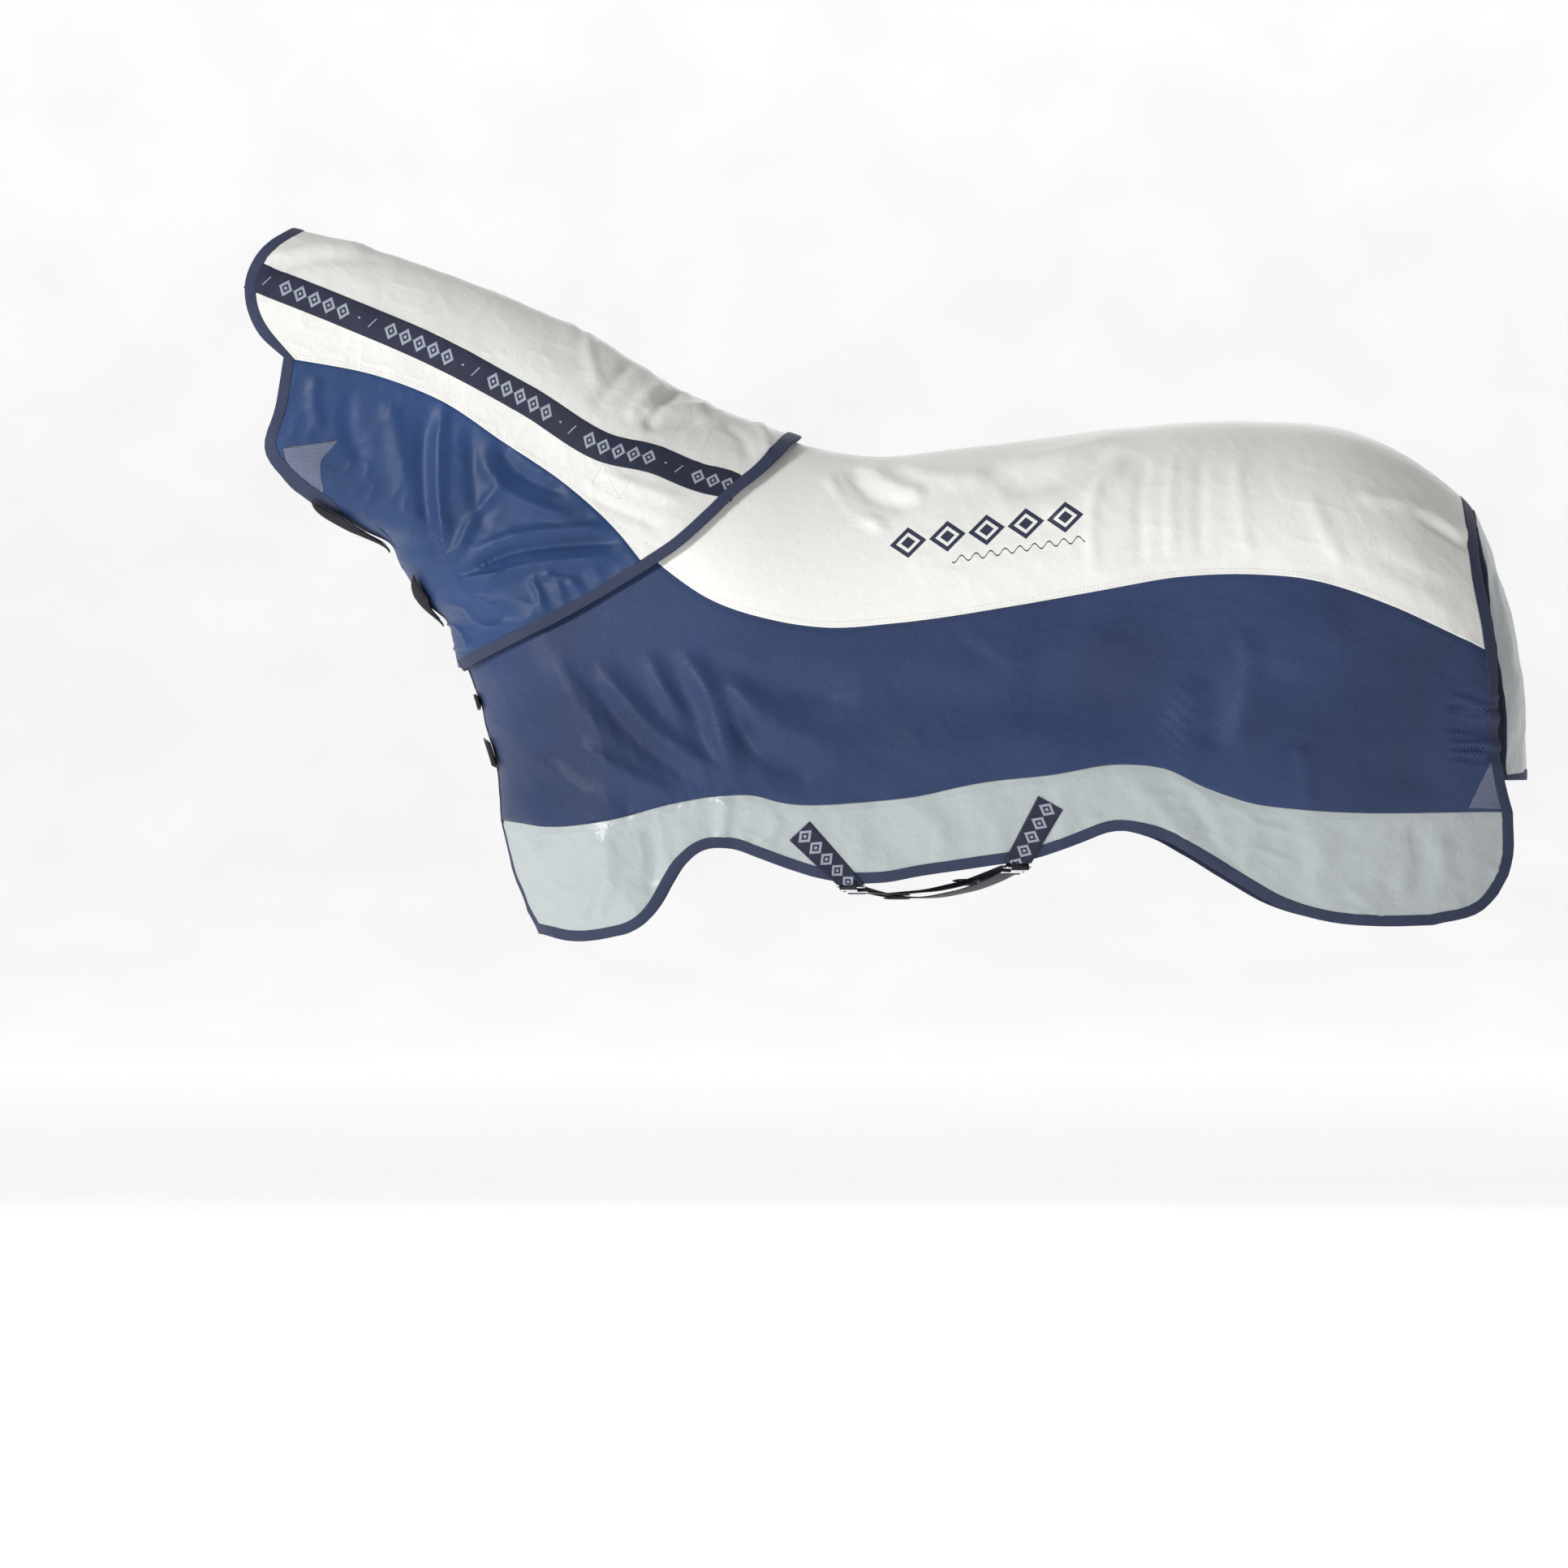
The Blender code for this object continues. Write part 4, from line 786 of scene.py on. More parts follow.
SKIRT_FOLDS = [
    ([(-0.154, -0.625), (-0.160, -0.700), (-0.168, -0.730)], 0.010, 0.0050),
    ([(-0.500, -0.690), (-0.455, -0.780), (-0.430, -0.870)], 0.020, 0.0045),
    ([(-0.380, -0.680), (-0.362, -0.760), (-0.380, -0.850)], 0.018, 0.0050),
    ([(-0.420, -0.690), (-0.405, -0.770), (-0.400, -0.860)], 0.016, -0.0040),
    ([(-0.300, -0.670), (-0.280, -0.740), (-0.300, -0.810)], 0.016, -0.0035),
    ([(-0.060, -0.650), (-0.070, -0.700), (-0.120, -0.728)], 0.013, 0.0040),
    ([(0.200, -0.640), (0.230, -0.700), (0.225, -0.760)], 0.018, 0.0035),
    ([(0.560, -0.590), (0.620, -0.650), (0.690, -0.730)], 0.016, 0.0045),
    ([(0.660, -0.620), (0.700, -0.680), (0.760, -0.770)], 0.014, -0.0040),
    ([(0.880, -0.665), (0.905, -0.740), (0.895, -0.830)], 0.020, 0.0050),
    ([(1.060, -0.670), (1.090, -0.740), (1.075, -0.830)], 0.016, -0.0045),
    ([(1.110, -0.680), (1.125, -0.750), (1.110, -0.830)], 0.014, 0.0045),
    ([(0.950, -0.790), (0.990, -0.815), (1.010, -0.850)], 0.010, 0.0040),
    ([(1.000, -0.770), (1.035, -0.800), (1.050, -0.845)], 0.009, -0.0035),
]
BODY_FOLDS = SHOULDER_FOLDS + WITHER_FOLDS + BACK_FOLDS + FLANK_FOLDS + SKIRT_FOLDS
print(len(BODY_FOLDS), "folds on the rug")

# %% How far the rug's cloth stands out from the horse
ELASTIC_LOW, ELASTIC_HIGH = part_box("left_rear_elastic")
FOLD_GAIN = {"body": 1.35, "cover": 1.3}  # how much deeper the folds are than their drawn heights
BODY_WAVES = ((0.11, 1, 0.0017), (0.045, 2, 0.0007))  # pitch, seed and height of each slow wave
CREASE_LEVEL = 0.3  # taken off creases, so that cloth between them lies a little low
SEAM_REACH = 0.014  # how far from a seam its puckers go
PUCKER_PITCH = 0.010
GATHER_PITCH, GATHER_HEIGHT = 0.0085, 0.0058
CREST_REACH = 0.03  # folds are flattened this near the topline


def near(value, low, high, edge):
    """1 between low and high, falling to 0 over edge on each side."""
    inside = np.clip(np.minimum(value - low, high - value) / edge + 1, 0, 1)
    return inside * inside * (3 - 2 * inside)


def body_drape(x, z, side):
    """How far the body rug's cloth stands out at a side-view place: folds, slow waves, fine creases, puckers
    along the seams, and gathers over the rear elastic. Under the neck cover it lies flat."""
    height = sum(fold_height(x, z, sized(route), width, rise) for route, width, rise in BODY_FOLDS)
    height = height * FOLD_GAIN["body"]
    depth = (topline(x) - z) * side
    slow = sum(ripple(x, depth, pitch, seed) * rise for pitch, seed, rise in BODY_WAVES)
    fine = (creases(x + 0.5 * depth, depth, 0.034, 3) - CREASE_LEVEL) * 0.0014
    upper = z - smooth(x, UPPER_SEAM[:, 0], UPPER_SEAM[:, 1])
    lower = z - smooth(x, LOWER_SEAM[:, 0], LOWER_SEAM[:, 1])
    hem = z - smooth(x, HEM[:, 0], HEM[:, 1])
    pucker = sum(np.exp(-((gap / SEAM_REACH) ** 2)) * ripple(x, 0 * x + seed, PUCKER_PITCH, seed) * 0.0010
                 for seed, gap in ((4, upper), (5, lower)))
    above_tape = np.clip((hem - 0.018) / 0.02, 0, 1)
    by_hem = above_tape * np.exp(-((hem / 0.07) ** 2)) * ripple(x, z * 0.3, 0.018, 7) * 0.0030
    skirt = near(lower, -1, 0, 0.01) * (ripple(x, z * 0.4, 0.028, 6) * 0.0022 + by_hem)
    hind_creases = (creases(z * 0.8 + x * 0.25, x, 0.040, 9) - CREASE_LEVEL) * 0.0030
    skirt += near(lower, -1, -0.03, 0.03) * near(x, 0.62, 2, 0.08) * above_tape * hind_creases
    gather = near(z, ELASTIC_LOW.z, ELASTIC_HIGH.z, 0.035) * near(x, ELASTIC_LOW.x - 0.02, 2, 0.035)
    gathers = gather * (ripple(z, x * 0.25, GATHER_PITCH, 8) * GATHER_HEIGHT - 0.001)
    behind_cover = x + 0.9 * z - COVER_REAR_UPPER[0, 0]
    free = np.clip(behind_cover / 0.05 + 0.6, 0, 1)
    low_front = np.clip((-0.36 - z) / 0.08, 0, 1)
    free = np.maximum(free * free * (3 - 2 * free), low_front)
    crest = np.clip(np.abs(depth) / CREST_REACH, 0.25, 1)
    return (height + slow + fine + pucker + skirt + gathers) * free * crest


# %% Where the folds of the neck cover run
COVER_FOLDS = [
    ([(-1.000, 0.330), (-0.900, 0.347), (-0.790, 0.345)], 0.011, 0.0055),
    ([(-0.996, 0.312), (-0.880, 0.330), (-0.750, 0.328)], 0.011, -0.0040),
    ([(-0.320, 0.048), (-0.255, 0.056), (-0.180, 0.058)], 0.011, 0.0075),
    ([(-0.315, 0.026), (-0.250, 0.032), (-0.190, 0.036)], 0.010, -0.0060),
    ([(-0.235, 0.095), (-0.275, 0.065), (-0.305, 0.020)], 0.010, -0.0060),
    ([(-0.262, 0.112), (-0.305, 0.080), (-0.335, 0.035)], 0.012, 0.0055),
    ([(-0.330, 0.150), (-0.360, 0.105), (-0.400, 0.060)], 0.012, -0.0045),
    ([(-0.410, 0.205), (-0.405, 0.150), (-0.385, 0.095)], 0.012, 0.0050),
    ([(-0.105, 0.040), (-0.088, 0.005), (-0.082, -0.030)], 0.010, 0.0050),
    ([(-0.170, 0.035), (-0.130, 0.005), (-0.110, -0.040)], 0.010, -0.0035),
    ([(-0.380, -0.050), (-0.300, -0.082), (-0.220, -0.110)], 0.011, 0.0040),
    ([(-0.420, -0.085), (-0.330, -0.125), (-0.250, -0.155)], 0.010, -0.0028),
    ([(-0.660, 0.090), (-0.668, -0.020), (-0.661, -0.141), (-0.634, -0.240)], 0.011, 0.0075),
    ([(-0.690, 0.080), (-0.698, -0.020), (-0.690, -0.130), (-0.665, -0.210)], 0.012, -0.0050),
    ([(-0.634, -0.238), (-0.547, -0.197), (-0.460, -0.182), (-0.320, -0.175)], 0.0085, -0.0075),
    ([(-0.620, -0.200), (-0.540, -0.168), (-0.455, -0.156), (-0.340, -0.155)], 0.012, 0.0065),
    ([(-0.620, -0.262), (-0.530, -0.226), (-0.440, -0.212), (-0.330, -0.205)], 0.012, 0.0060),
    ([(-0.570, 0.015), (-0.527, -0.047), (-0.430, -0.092)], 0.012, -0.0055),
    ([(-0.600, 0.000), (-0.560, -0.070), (-0.470, -0.120), (-0.400, -0.130)], 0.013, 0.0055),
    ([(-0.612, 0.040), (-0.605, -0.060), (-0.590, -0.160)], 0.014, -0.0045),
    ([(-0.640, -0.215), (-0.605, -0.130), (-0.540, -0.060)], 0.010, 0.0045),
    ([(-0.760, 0.090), (-0.745, 0.010), (-0.720, -0.090)], 0.018, 0.0040),
    ([(-0.830, 0.110), (-0.830, 0.030), (-0.800, -0.040)], 0.016, -0.0030),
    ([(-0.890, 0.130), (-0.895, 0.080), (-0.880, 0.020)], 0.012, 0.0030),
    ([(-0.860, 0.240), (-0.700, 0.190), (-0.560, 0.130)], 0.030, 0.0030),
]
print(len(COVER_FOLDS), "folds on the neck cover")


# %% How far the neck cover's cloth stands out
def cover_drape(x, z, side):
    """How far the neck cover's cloth stands out, with a crumpled lower corner and a lightly creased neck."""
    height = sum(fold_height(x, z, sized(route), width, rise) for route, width, rise in COVER_FOLDS)
    height = height * FOLD_GAIN["cover"]
    depth = (topline(x) - z) * side
    slow = ripple(x, depth, 0.085, 11) * 0.0014
    fine = (creases(x - 0.4 * depth, depth, 0.030, 12) - CREASE_LEVEL) * 0.0013
    corner = near(x, -0.62, -0.38, 0.05) * near(z, -0.40, -0.235, 0.03)
    edge_gap = z - smooth(x, COVER_REAR_LOWER[::-1, 0], COVER_REAR_LOWER[::-1, 1])
    corner = corner * np.clip((edge_gap - 0.020) / 0.025, 0, 1)
    crumple = corner * (creases(x + 0.6 * z, z, 0.042, 13) - CREASE_LEVEL) * 0.0065
    crest = near(x, -0.44, -0.06, 0.06) * near(np.abs(depth), -1, 0.05, 0.04)
    bumps = crest * ripple(x, depth * 0.6, 0.034, 14) * 0.0032
    seam_gap = z - smooth(x, COVER_SEAM[:, 0], COVER_SEAM[:, 1])
    pucker = np.exp(-((seam_gap / SEAM_REACH) ** 2)) * ripple(x, 0 * x, PUCKER_PITCH, 15) * 0.0007
    return height + slow + fine + crumple + bumps + pucker


# %% [markdown]
# ## Making cloth, pads, tapes and rings
# Four ways of making a piece cover the whole rug. Cloth is an open grid with a thin wall. A pad is a strip
# or patch whose two faces meet at a rounded rim. A binding is a flat closed section carried along an edge,
# as folded tape sits over the raw cloth. A ring is a round or flat bar carried along a closed path.

# %% Finishing a piece: what it rides on, stands for and is made of
CLOTH_WALL = 0.0012
CLOTH_LIFT = 0.0030  # the outer face of a single cloth
COVER_LIFT = 0.0125  # the neck cover lies this far outside the rug


def finish(piece, body, look, nodes=()):
    """Gives a piece its finish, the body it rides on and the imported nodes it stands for."""
    piece.data.materials.append(look)
    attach(piece, body)
    if nodes:
        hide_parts(*nodes)
    return piece


def corner_map(first, second, faces):
    """The two cloth coordinates of each face's corners."""
    return np.stack([first, second], axis=-1).reshape(-1, 2)[faces]


def facing_in(grid, outward):
    """Whether the quads at the middle of a grid face away from this direction."""
    i, j = grid.shape[0] // 2, grid.shape[1] // 2
    facing = np.cross(grid[i + 1, j] - grid[i, j], grid[i, j + 1] - grid[i, j])
    return facing @ outward < 0


# %% A sheet of cloth
LEVEL_TURN = 0.7  # how far a level knit is carried on by each metre across


def add_cloth(name, grid, outward, body, look, nodes, inner_face_look=None, level=False):
    """An open grid of cloth whose wall grows inwards from the grid; outward is its facing at the middle.
    A level map takes x + 0.7 |y| and z as the cloth's coordinates, so its knit stays in straight rows."""
    first, second = lengths(grid)
    if level:
        first, second = grid[..., 0] + LEVEL_TURN * np.abs(grid[..., 1]), grid[..., 2]
    faces = grid_faces(*grid.shape[:2])
    if facing_in(grid, outward):
        faces = faces[:, ::-1]
    piece = new_piece(name, grid.reshape(-1, 3), faces, corner_map(first, second, faces))
    finish(piece, body, look, nodes)
    thick = piece.modifiers.new("wall", "SOLIDIFY")
    thick.thickness = CLOTH_WALL
    thick.offset = -1
    if inner_face_look:
        piece.data.materials.append(inner_face_look)
        thick.material_offset = 1
    return piece


# %% A pad or a flat strip
def rim_crowded(count):
    """From -1 to 1 with the steps closest at both ends, as a sine spaces them."""
    return np.sin(np.linspace(-1, 1, count) * math.pi / 2)


def add_pad(name, grid, outward, thickness, body, look, nodes=()):
    """A closed strip: the grid moved out and in by half the thickness times (1 - u^10)^0.5 (1 - v^10)^0.5,
    so that its two faces meet at the rim. Its map is 0 along the middle."""
    rows, columns = grid.shape[:2]
    u, v = np.linspace(-1, 1, rows)[:, None], np.linspace(-1, 1, columns)[None]
    swell = np.sqrt(np.clip((1 - u**10) * (1 - v**10), 0, 1))[..., None] * thickness / 2 * outward
    first, second = lengths(grid)
    second = second - second[:, -1:] / 2
    top = np.arange(rows * columns).reshape(rows, columns)
    under = top + rows * columns
    rim = (np.abs(u) == 1) | (np.abs(v) == 1)
    under[rim] = top[rim]
    quads = grid_faces(rows, columns)
    if facing_in(grid, outward[rows // 2, columns // 2]):
        quads = quads[:, ::-1]
    faces = np.concatenate([top.ravel()[quads], under.ravel()[quads][:, ::-1]])
    flat = np.concatenate([quads, quads[:, ::-1]])
    used, faces = np.unique(faces, return_inverse=True)
    points = np.concatenate([grid + swell, grid - swell]).reshape(-1, 3)[used]
    piece = new_piece(name, points, faces.reshape(-1, 4), corner_map(first, second, flat))
    return finish(piece, body, look, nodes)


# %% A section carried along a path
def add_tube(name, sections, body, look, nodes, closed=False):
    """Sections carried along a path: a grid whose rows are closed loops, joined up or ended with a fan."""
    rows, columns = sections.shape[:2]
    faces = grid_faces(rows, columns, wrap_rows=closed, wrap_columns=True)
    loop = np.concatenate([sections, sections[:, :1]], axis=1)
    if closed:
        loop = np.concatenate([loop, loop[:1]])
    first, second = lengths(loop)
    first = np.broadcast_to(first.mean(axis=1, keepdims=True), first.shape)
    corners = corner_map(first, second, grid_faces(rows + closed, columns + 1))
    points = sections.reshape(-1, 3)
    if not closed:
        start, end = rows * columns, rows * columns + 1
        j = np.arange(columns)
        beside = (j + 1) % columns
        last = (rows - 1) * columns
        fans = [np.stack([beside, j, np.full(columns, start), np.full(columns, start)], axis=1),
                np.stack([last + j, last + beside, np.full(columns, end), np.full(columns, end)], axis=1)]
        faces = np.concatenate([faces, *fans])
        corners = np.concatenate([corners, np.zeros((2 * columns, 4, 2))])
        points = np.concatenate([points, sections[0].mean(axis=0)[None], sections[-1].mean(axis=0)[None]])
    middle = sections[rows // 2]
    outward = middle[0] - middle.mean(axis=0)
    facing = np.cross(sections[rows // 2 + 1, 0] - middle[0], middle[1] - middle[0])
    if facing @ outward < 0:
        three = faces[:, 3] == faces[:, 2]
        turned, turned_map = faces[:, ::-1].copy(), corners[:, ::-1].copy()
        turned[three] = faces[three][:, [1, 0, 2, 3]]
        turned_map[three] = corners[three][:, [1, 0, 2, 3]]
        faces, corners = turned, turned_map
    piece = new_piece(name, points, faces, corners)
    return finish(piece, body, look, nodes)


def flat_section(count, power=0.42):
    """A rounded rectangle from -1 to 1 both ways: cosine and sine, each raised to a small power."""
    turn = np.linspace(0, 2 * math.pi, count, endpoint=False)
    c, s = np.cos(turn), np.sin(turn)
    return np.sign(c) * np.abs(c) ** power, np.sign(s) * np.abs(s) ** power


# %% Laying rows of side-view points on the horse
BINDING_WIDTH = 0.020
BINDING_THICKNESS = 0.0042
FRONT_GAP = 0.004  # half the slit down the chest
SIDES = {"left": -1, "right": 1}


def laid(xz, side, drape, lift):
    """Side-view points on the horse, moved out by the lift and the folds, and the normals there. A point
    over the topline is put on it, and one past the chest goes back to the slit."""
    z = np.minimum(xz[..., 1], topline(xz[..., 0]))
    x = np.maximum(xz[..., 0], front_x(z, np.full(z.shape, FRONT_GAP)))
    base = on_body(np.stack([x, z], axis=-1), side)
    outward = normals(base)
    height = lift + drape(x, z, side)
    return base + outward * height[..., None], outward


def folded_over(outer, inner, side, drape, lift):
    """Sections of tape folded over an edge: at each station a flat loop from the outer row to the inner one,
    laid on the cloth's own folds."""
    a, n = flat_section(16)
    plan = outer[:, None] + (a[None, :, None] + 1) / 2 * (inner - outer)[:, None]
    return laid(plan, side, drape, lift + n[None] * BINDING_THICKNESS / 2)[0]


def both_sides(left, right):
    """Joins two grids whose first row is on the topline into one that runs over it."""
    return np.concatenate([left[:, ::-1], right[:, 1:]], axis=1)


# %% Stations shared by panels and bindings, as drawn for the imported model
ROW_POWER = 1.5
FRONT_CROWDING = 0.66
TOP_ROWS, MESH_ROWS, NECKLINE_ROWS, LOWER_ROWS, COLUMNS = 8, 10, 4, 4, 31
EDGE_OPENING = 0.085  # each front edge's distance from the middle at the hem
REAR_SPLIT = 0.52  # where the upper seam meets the rear edge, as a share of its length
NECK_TURN = 0.75  # how steeply the neckline crosses the topline
FINE = 5  # fine stations for each drawn one along an edge


def crowded(count):
    """Shares from 0 to 1 that lie closer at the front: a mix of s and s squared."""
    s = np.linspace(0, 1, count)
    return s * (1 - FRONT_CROWDING) + FRONT_CROWDING * s**2


def inset(points, towards, width):
    """Moves a row of side-view points by width, square to the row, towards a given point."""
    along = np.gradient(points, axis=0)
    along /= np.linalg.norm(along, axis=1, keepdims=True)
    square = np.stack([-along[:, 1], along[:, 0]], axis=1)
    turn = np.sign(((np.asarray(towards) - points) * square).sum(axis=1).mean())
    return points + width * turn * square


def slid(points, distance):
    """Moves points along the back and keeps their depth below the topline."""
    x = points[:, 0] + distance
    return np.stack([x, points[:, 1] + topline(x) - topline(points[:, 0])], axis=1)


def edge_inset(points, towards, distance, width):
    """Slides along the back close to the topline, and moves square to the edge further down."""
    depth = np.clip((topline(points[:, 0]) - points[:, 1]) / 0.12, 0, 1)[:, None]
    share = depth**2 * (3 - 2 * depth)
    moved = (1 - share) * slid(points, distance) + share * inset(points, towards, width)
    low = front_x(moved[:, 1], np.full(len(moved), FRONT_GAP))
    moved[:, 0] = np.maximum(moved[:, 0], low)
    moved[:, 1] = np.minimum(moved[:, 1], topline(moved[:, 0]))
    return moved


def chest_edge(z, width):
    """The left front edge, this far from the slit; the fronts part below the lower seam."""
    low = np.clip((LOWER_SEAM[0, 1] - z) / (LOWER_SEAM[0, 1] - CHEST_LINE[0, 1]), 0, 1)
    y = FRONT_GAP + width + (EDGE_OPENING - FRONT_GAP) * low
    return np.stack([front_x(z, y), z], axis=1)


class Stations:
    """The body rug's edges, this far in from the finished edge, as rows of side-view points."""

    def __init__(self, width):
        middle = sized((0.3, -0.45))
        start = chest_edge(CHEST_LINE[:1, 1], 0)
        self.hem = inset(path(np.concatenate([start, HEM]), crowded(COLUMNS)), middle, width)
        self.corner = inset(path(REAR_CORNER, np.linspace(0, 1, LOWER_ROWS)), middle, width)
        self.hem[-1] = self.corner[0]
        self.rear_middle = inset(path(REAR_EDGE, np.linspace(0, REAR_SPLIT, MESH_ROWS)), middle, width)
        self.rear_middle[0] = self.corner[-1]
        down = 1 - np.linspace(1, 0, TOP_ROWS) ** ROW_POWER
        rear_top = path(REAR_EDGE, REAR_SPLIT + (1 - REAR_SPLIT) * down)
        self.rear_top = edge_inset(rear_top, middle, -width, width)
        self.rear_top[0] = self.rear_middle[-1]
        self.front_low = chest_edge(np.linspace(LOWER_SEAM[0, 1], self.hem[0, 1], LOWER_ROWS), width)
        self.hem[0] = self.front_low[-1]
        high = MESH_ROWS - NECKLINE_ROWS + 1
        self.front_high = chest_edge(np.linspace(NECKLINE_LOWER[-1, 1], LOWER_SEAM[0, 1], high), width)
        low_line = path(NECKLINE_LOWER, np.linspace(0, 1, NECKLINE_ROWS))
        self.neck_low = edge_inset(low_line, middle, width, width)
        self.neck_low[-1] = self.front_high[0]
        high_line = path(NECKLINE_UPPER, np.linspace(0, 1, TOP_ROWS) ** ROW_POWER)
        self.neck_high = edge_inset(high_line, middle, width / NECK_TURN, width)
        self.neck_high[-1] = self.neck_low[0]


def finer(points, times=FINE):
    """The same row with more points between its stations."""
    knots = np.arange(len(points), dtype=float)
    return spread(points, knots, np.linspace(0, knots[-1], (len(points) - 1) * times + 1))


def chained(*rows):
    """Rows joined end to end, each refined on its own so that the corners between them stay sharp."""
    fine = [finer(row) for row in rows]
    return np.concatenate([fine[0]] + [row[1:] for row in fine[1:]])


# %% [markdown]
# ## The body rug
# Three cloths make each side: the white back runs over both sides in one, the mesh hangs from it, and the
# silver skirt hangs from the mesh. Each lower cloth starts a finger's width under the one above, as a lapped
# seam does, so a seam shows one clean edge and no gap.

# %% Back
EDGE_COVER = 0.006  # the cloth's raw edge lies this far inside the binding
ALONG = 250
BACK_ROWS = 86

at = Stations(EDGE_COVER)
across = crowded(ALONG)
down_knots = np.linspace(0, 1, TOP_ROWS) ** ROW_POWER
down = np.linspace(0, 1, BACK_ROWS) ** ROW_POWER
neck_row, rear_row = spread(at.neck_high, down_knots, down), spread(at.rear_top[::-1], down_knots, down)
crest_x = neck_row[0, 0] + (rear_row[0, 0] - neck_row[0, 0]) * across
crest = np.stack([crest_x, topline(crest_x)], axis=1)
upper = path(np.concatenate([[neck_row[-1]], UPPER_SEAM[1:-1], [rear_row[-1]]]), across)
back_plan = patch(crest, upper, neck_row, rear_row, across, down)
back_halves = [laid(back_plan, side, body_drape, CLOTH_LIFT)[0] for side in (-1, 1)]
add_cloth("back_cloth", both_sides(*back_halves), (0, 0, 1), "rug", white_look,
          ["back_panel"])

# %% Sides and skirt in side view
LAP = 0.010  # each lower cloth starts this far above its seam
LAP_STEP = 0.0018
SIDE_ROWS, SKIRT_ROWS = 84, 38
HEM_FINE = 9  # fine stations for each drawn one along the hem

lower_ends = at.front_high[-1], at.corner[-1]
lower = path(np.concatenate([[lower_ends[0]], LOWER_SEAM[1:-1], [lower_ends[1]]]), across)
tuck = np.array([0, LAP])
side_rows = np.linspace(0, 1, SIDE_ROWS)
front_chain = chained(at.neck_low, at.front_high)
rear_chain = finer(at.rear_middle)[::-1]
side_plan = patch(upper + tuck, lower,
                  path(np.concatenate([[upper[0] + tuck], front_chain[1:]]), side_rows),
                  path(np.concatenate([[upper[-1] + tuck], rear_chain[1:]]), side_rows), across, side_rows)
skirt_rows = np.linspace(0, 1, SKIRT_ROWS)
skirt_top = lower + tuck
hem_picks = np.linspace(0, (COLUMNS - 1) * HEM_FINE, ALONG).astype(int)
skirt_plan = patch(skirt_top, finer(at.hem, HEM_FINE)[hem_picks],
                   path(np.concatenate([skirt_top[:1], finer(at.front_low)[1:]]), skirt_rows),
                   path(np.concatenate([skirt_top[-1:], finer(at.corner)[::-1][1:]]), skirt_rows),
                   across, skirt_rows)


# %% Sides and skirt
def under_lap(plan, seam_line):
    """The lift of a cloth that is stepped back where it runs under the one above."""
    above = plan[..., 1] - smooth(plan[..., 0], seam_line[:, 0], seam_line[:, 1])
    return CLOTH_LIFT - LAP_STEP * near(above, -0.001, 1, 0.010)


for name, side in SIDES.items():
    grid, outward = laid(side_plan, side, body_drape, under_lap(side_plan, UPPER_SEAM))
    add_cloth(f"{name}_side_cloth", grid, (0, side, 0), "rug", side_look,
              [f"{name}_side_mesh"], level=True)
    grid, outward = laid(skirt_plan, side, body_drape, under_lap(skirt_plan, LOWER_SEAM))
    add_cloth(f"{name}_skirt", grid, (0, side, 0), "rug", silver_look,
              [f"{name}_lower_panel"], inner_face_look=painted_inner_shade_look)

# %% Edge bindings
TAIL_OVERLAP = 0.0012  # how far each side's tape runs past the middle over the tail
rim_outer, rim_inner = Stations(0.0), Stations(BINDING_WIDTH)


def body_rim(at):
    return chained(at.front_high, at.front_low, at.hem, at.corner, at.rear_middle, at.rear_top)


def neckline(at):
    return chained(at.neck_high, at.neck_low)


body_outer, body_inner = body_rim(rim_outer), body_rim(rim_inner)
BINDING_LIFT = CLOTH_LIFT / 2 + 0.0012  # the middle of the folded tape
for name, side in SIDES.items():
    sections = folded_over(body_outer, body_inner, side, body_drape, BINDING_LIFT)
    over_middle = sections[-1:] * (1, 0, 1) - (0, side * TAIL_OVERLAP, 0)
    sections = np.concatenate([sections, over_middle])
    add_tube(f"{name}_rug_binding", sections, "rug", binding_look, [f"{name}_edge_binding"])


def over_top(outer, inner, drape, lift):
    """Tape sections that start low on the left, cross the topline and end low on the right."""
    left, right = (folded_over(outer, inner, side, drape, lift) for side in (-1, 1))
    return np.concatenate([left[::-1], right[1:]])


add_tube("neckline_tape", over_top(neckline(rim_outer), neckline(rim_inner), body_drape, BINDING_LIFT),
         "rug", binding_look, ["neckline_binding"])
print("bindings done,", len(body_outer), "stations along a side")

# %% Rear vents, hidden elastics and the landing pads at the withers
VENT_WALL = 0.0008


def boundary_patch(left, right, rows, columns):
    """A side-view grid between two curves that both run downwards."""
    a, b = path(left, np.linspace(0, 1, rows)), path(right, np.linspace(0, 1, rows))
    s = (rim_crowded(columns) + 1) / 2
    return a[:, None] * (1 - s[None, :, None]) + b[:, None] * s[None, :, None]


def rectangle(centre, size, angle, rows=9, columns=9):
    """A side-view grid of this size about a centre, turned by angle."""
    u, v = rim_crowded(rows)[:, None] * size[0] / 2, rim_crowded(columns)[None] * size[1] / 2
    x = centre[0] + u * math.cos(angle) - v * math.sin(angle)
    z = centre[1] + u * math.sin(angle) + v * math.cos(angle)
    return np.stack([x, z], axis=-1)


def middle_of(node):
    """The side-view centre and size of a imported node."""
    low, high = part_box(node)
    return ((low.x + high.x) / 2, (low.z + high.z) / 2), (high.x - low.x, high.z - low.z)


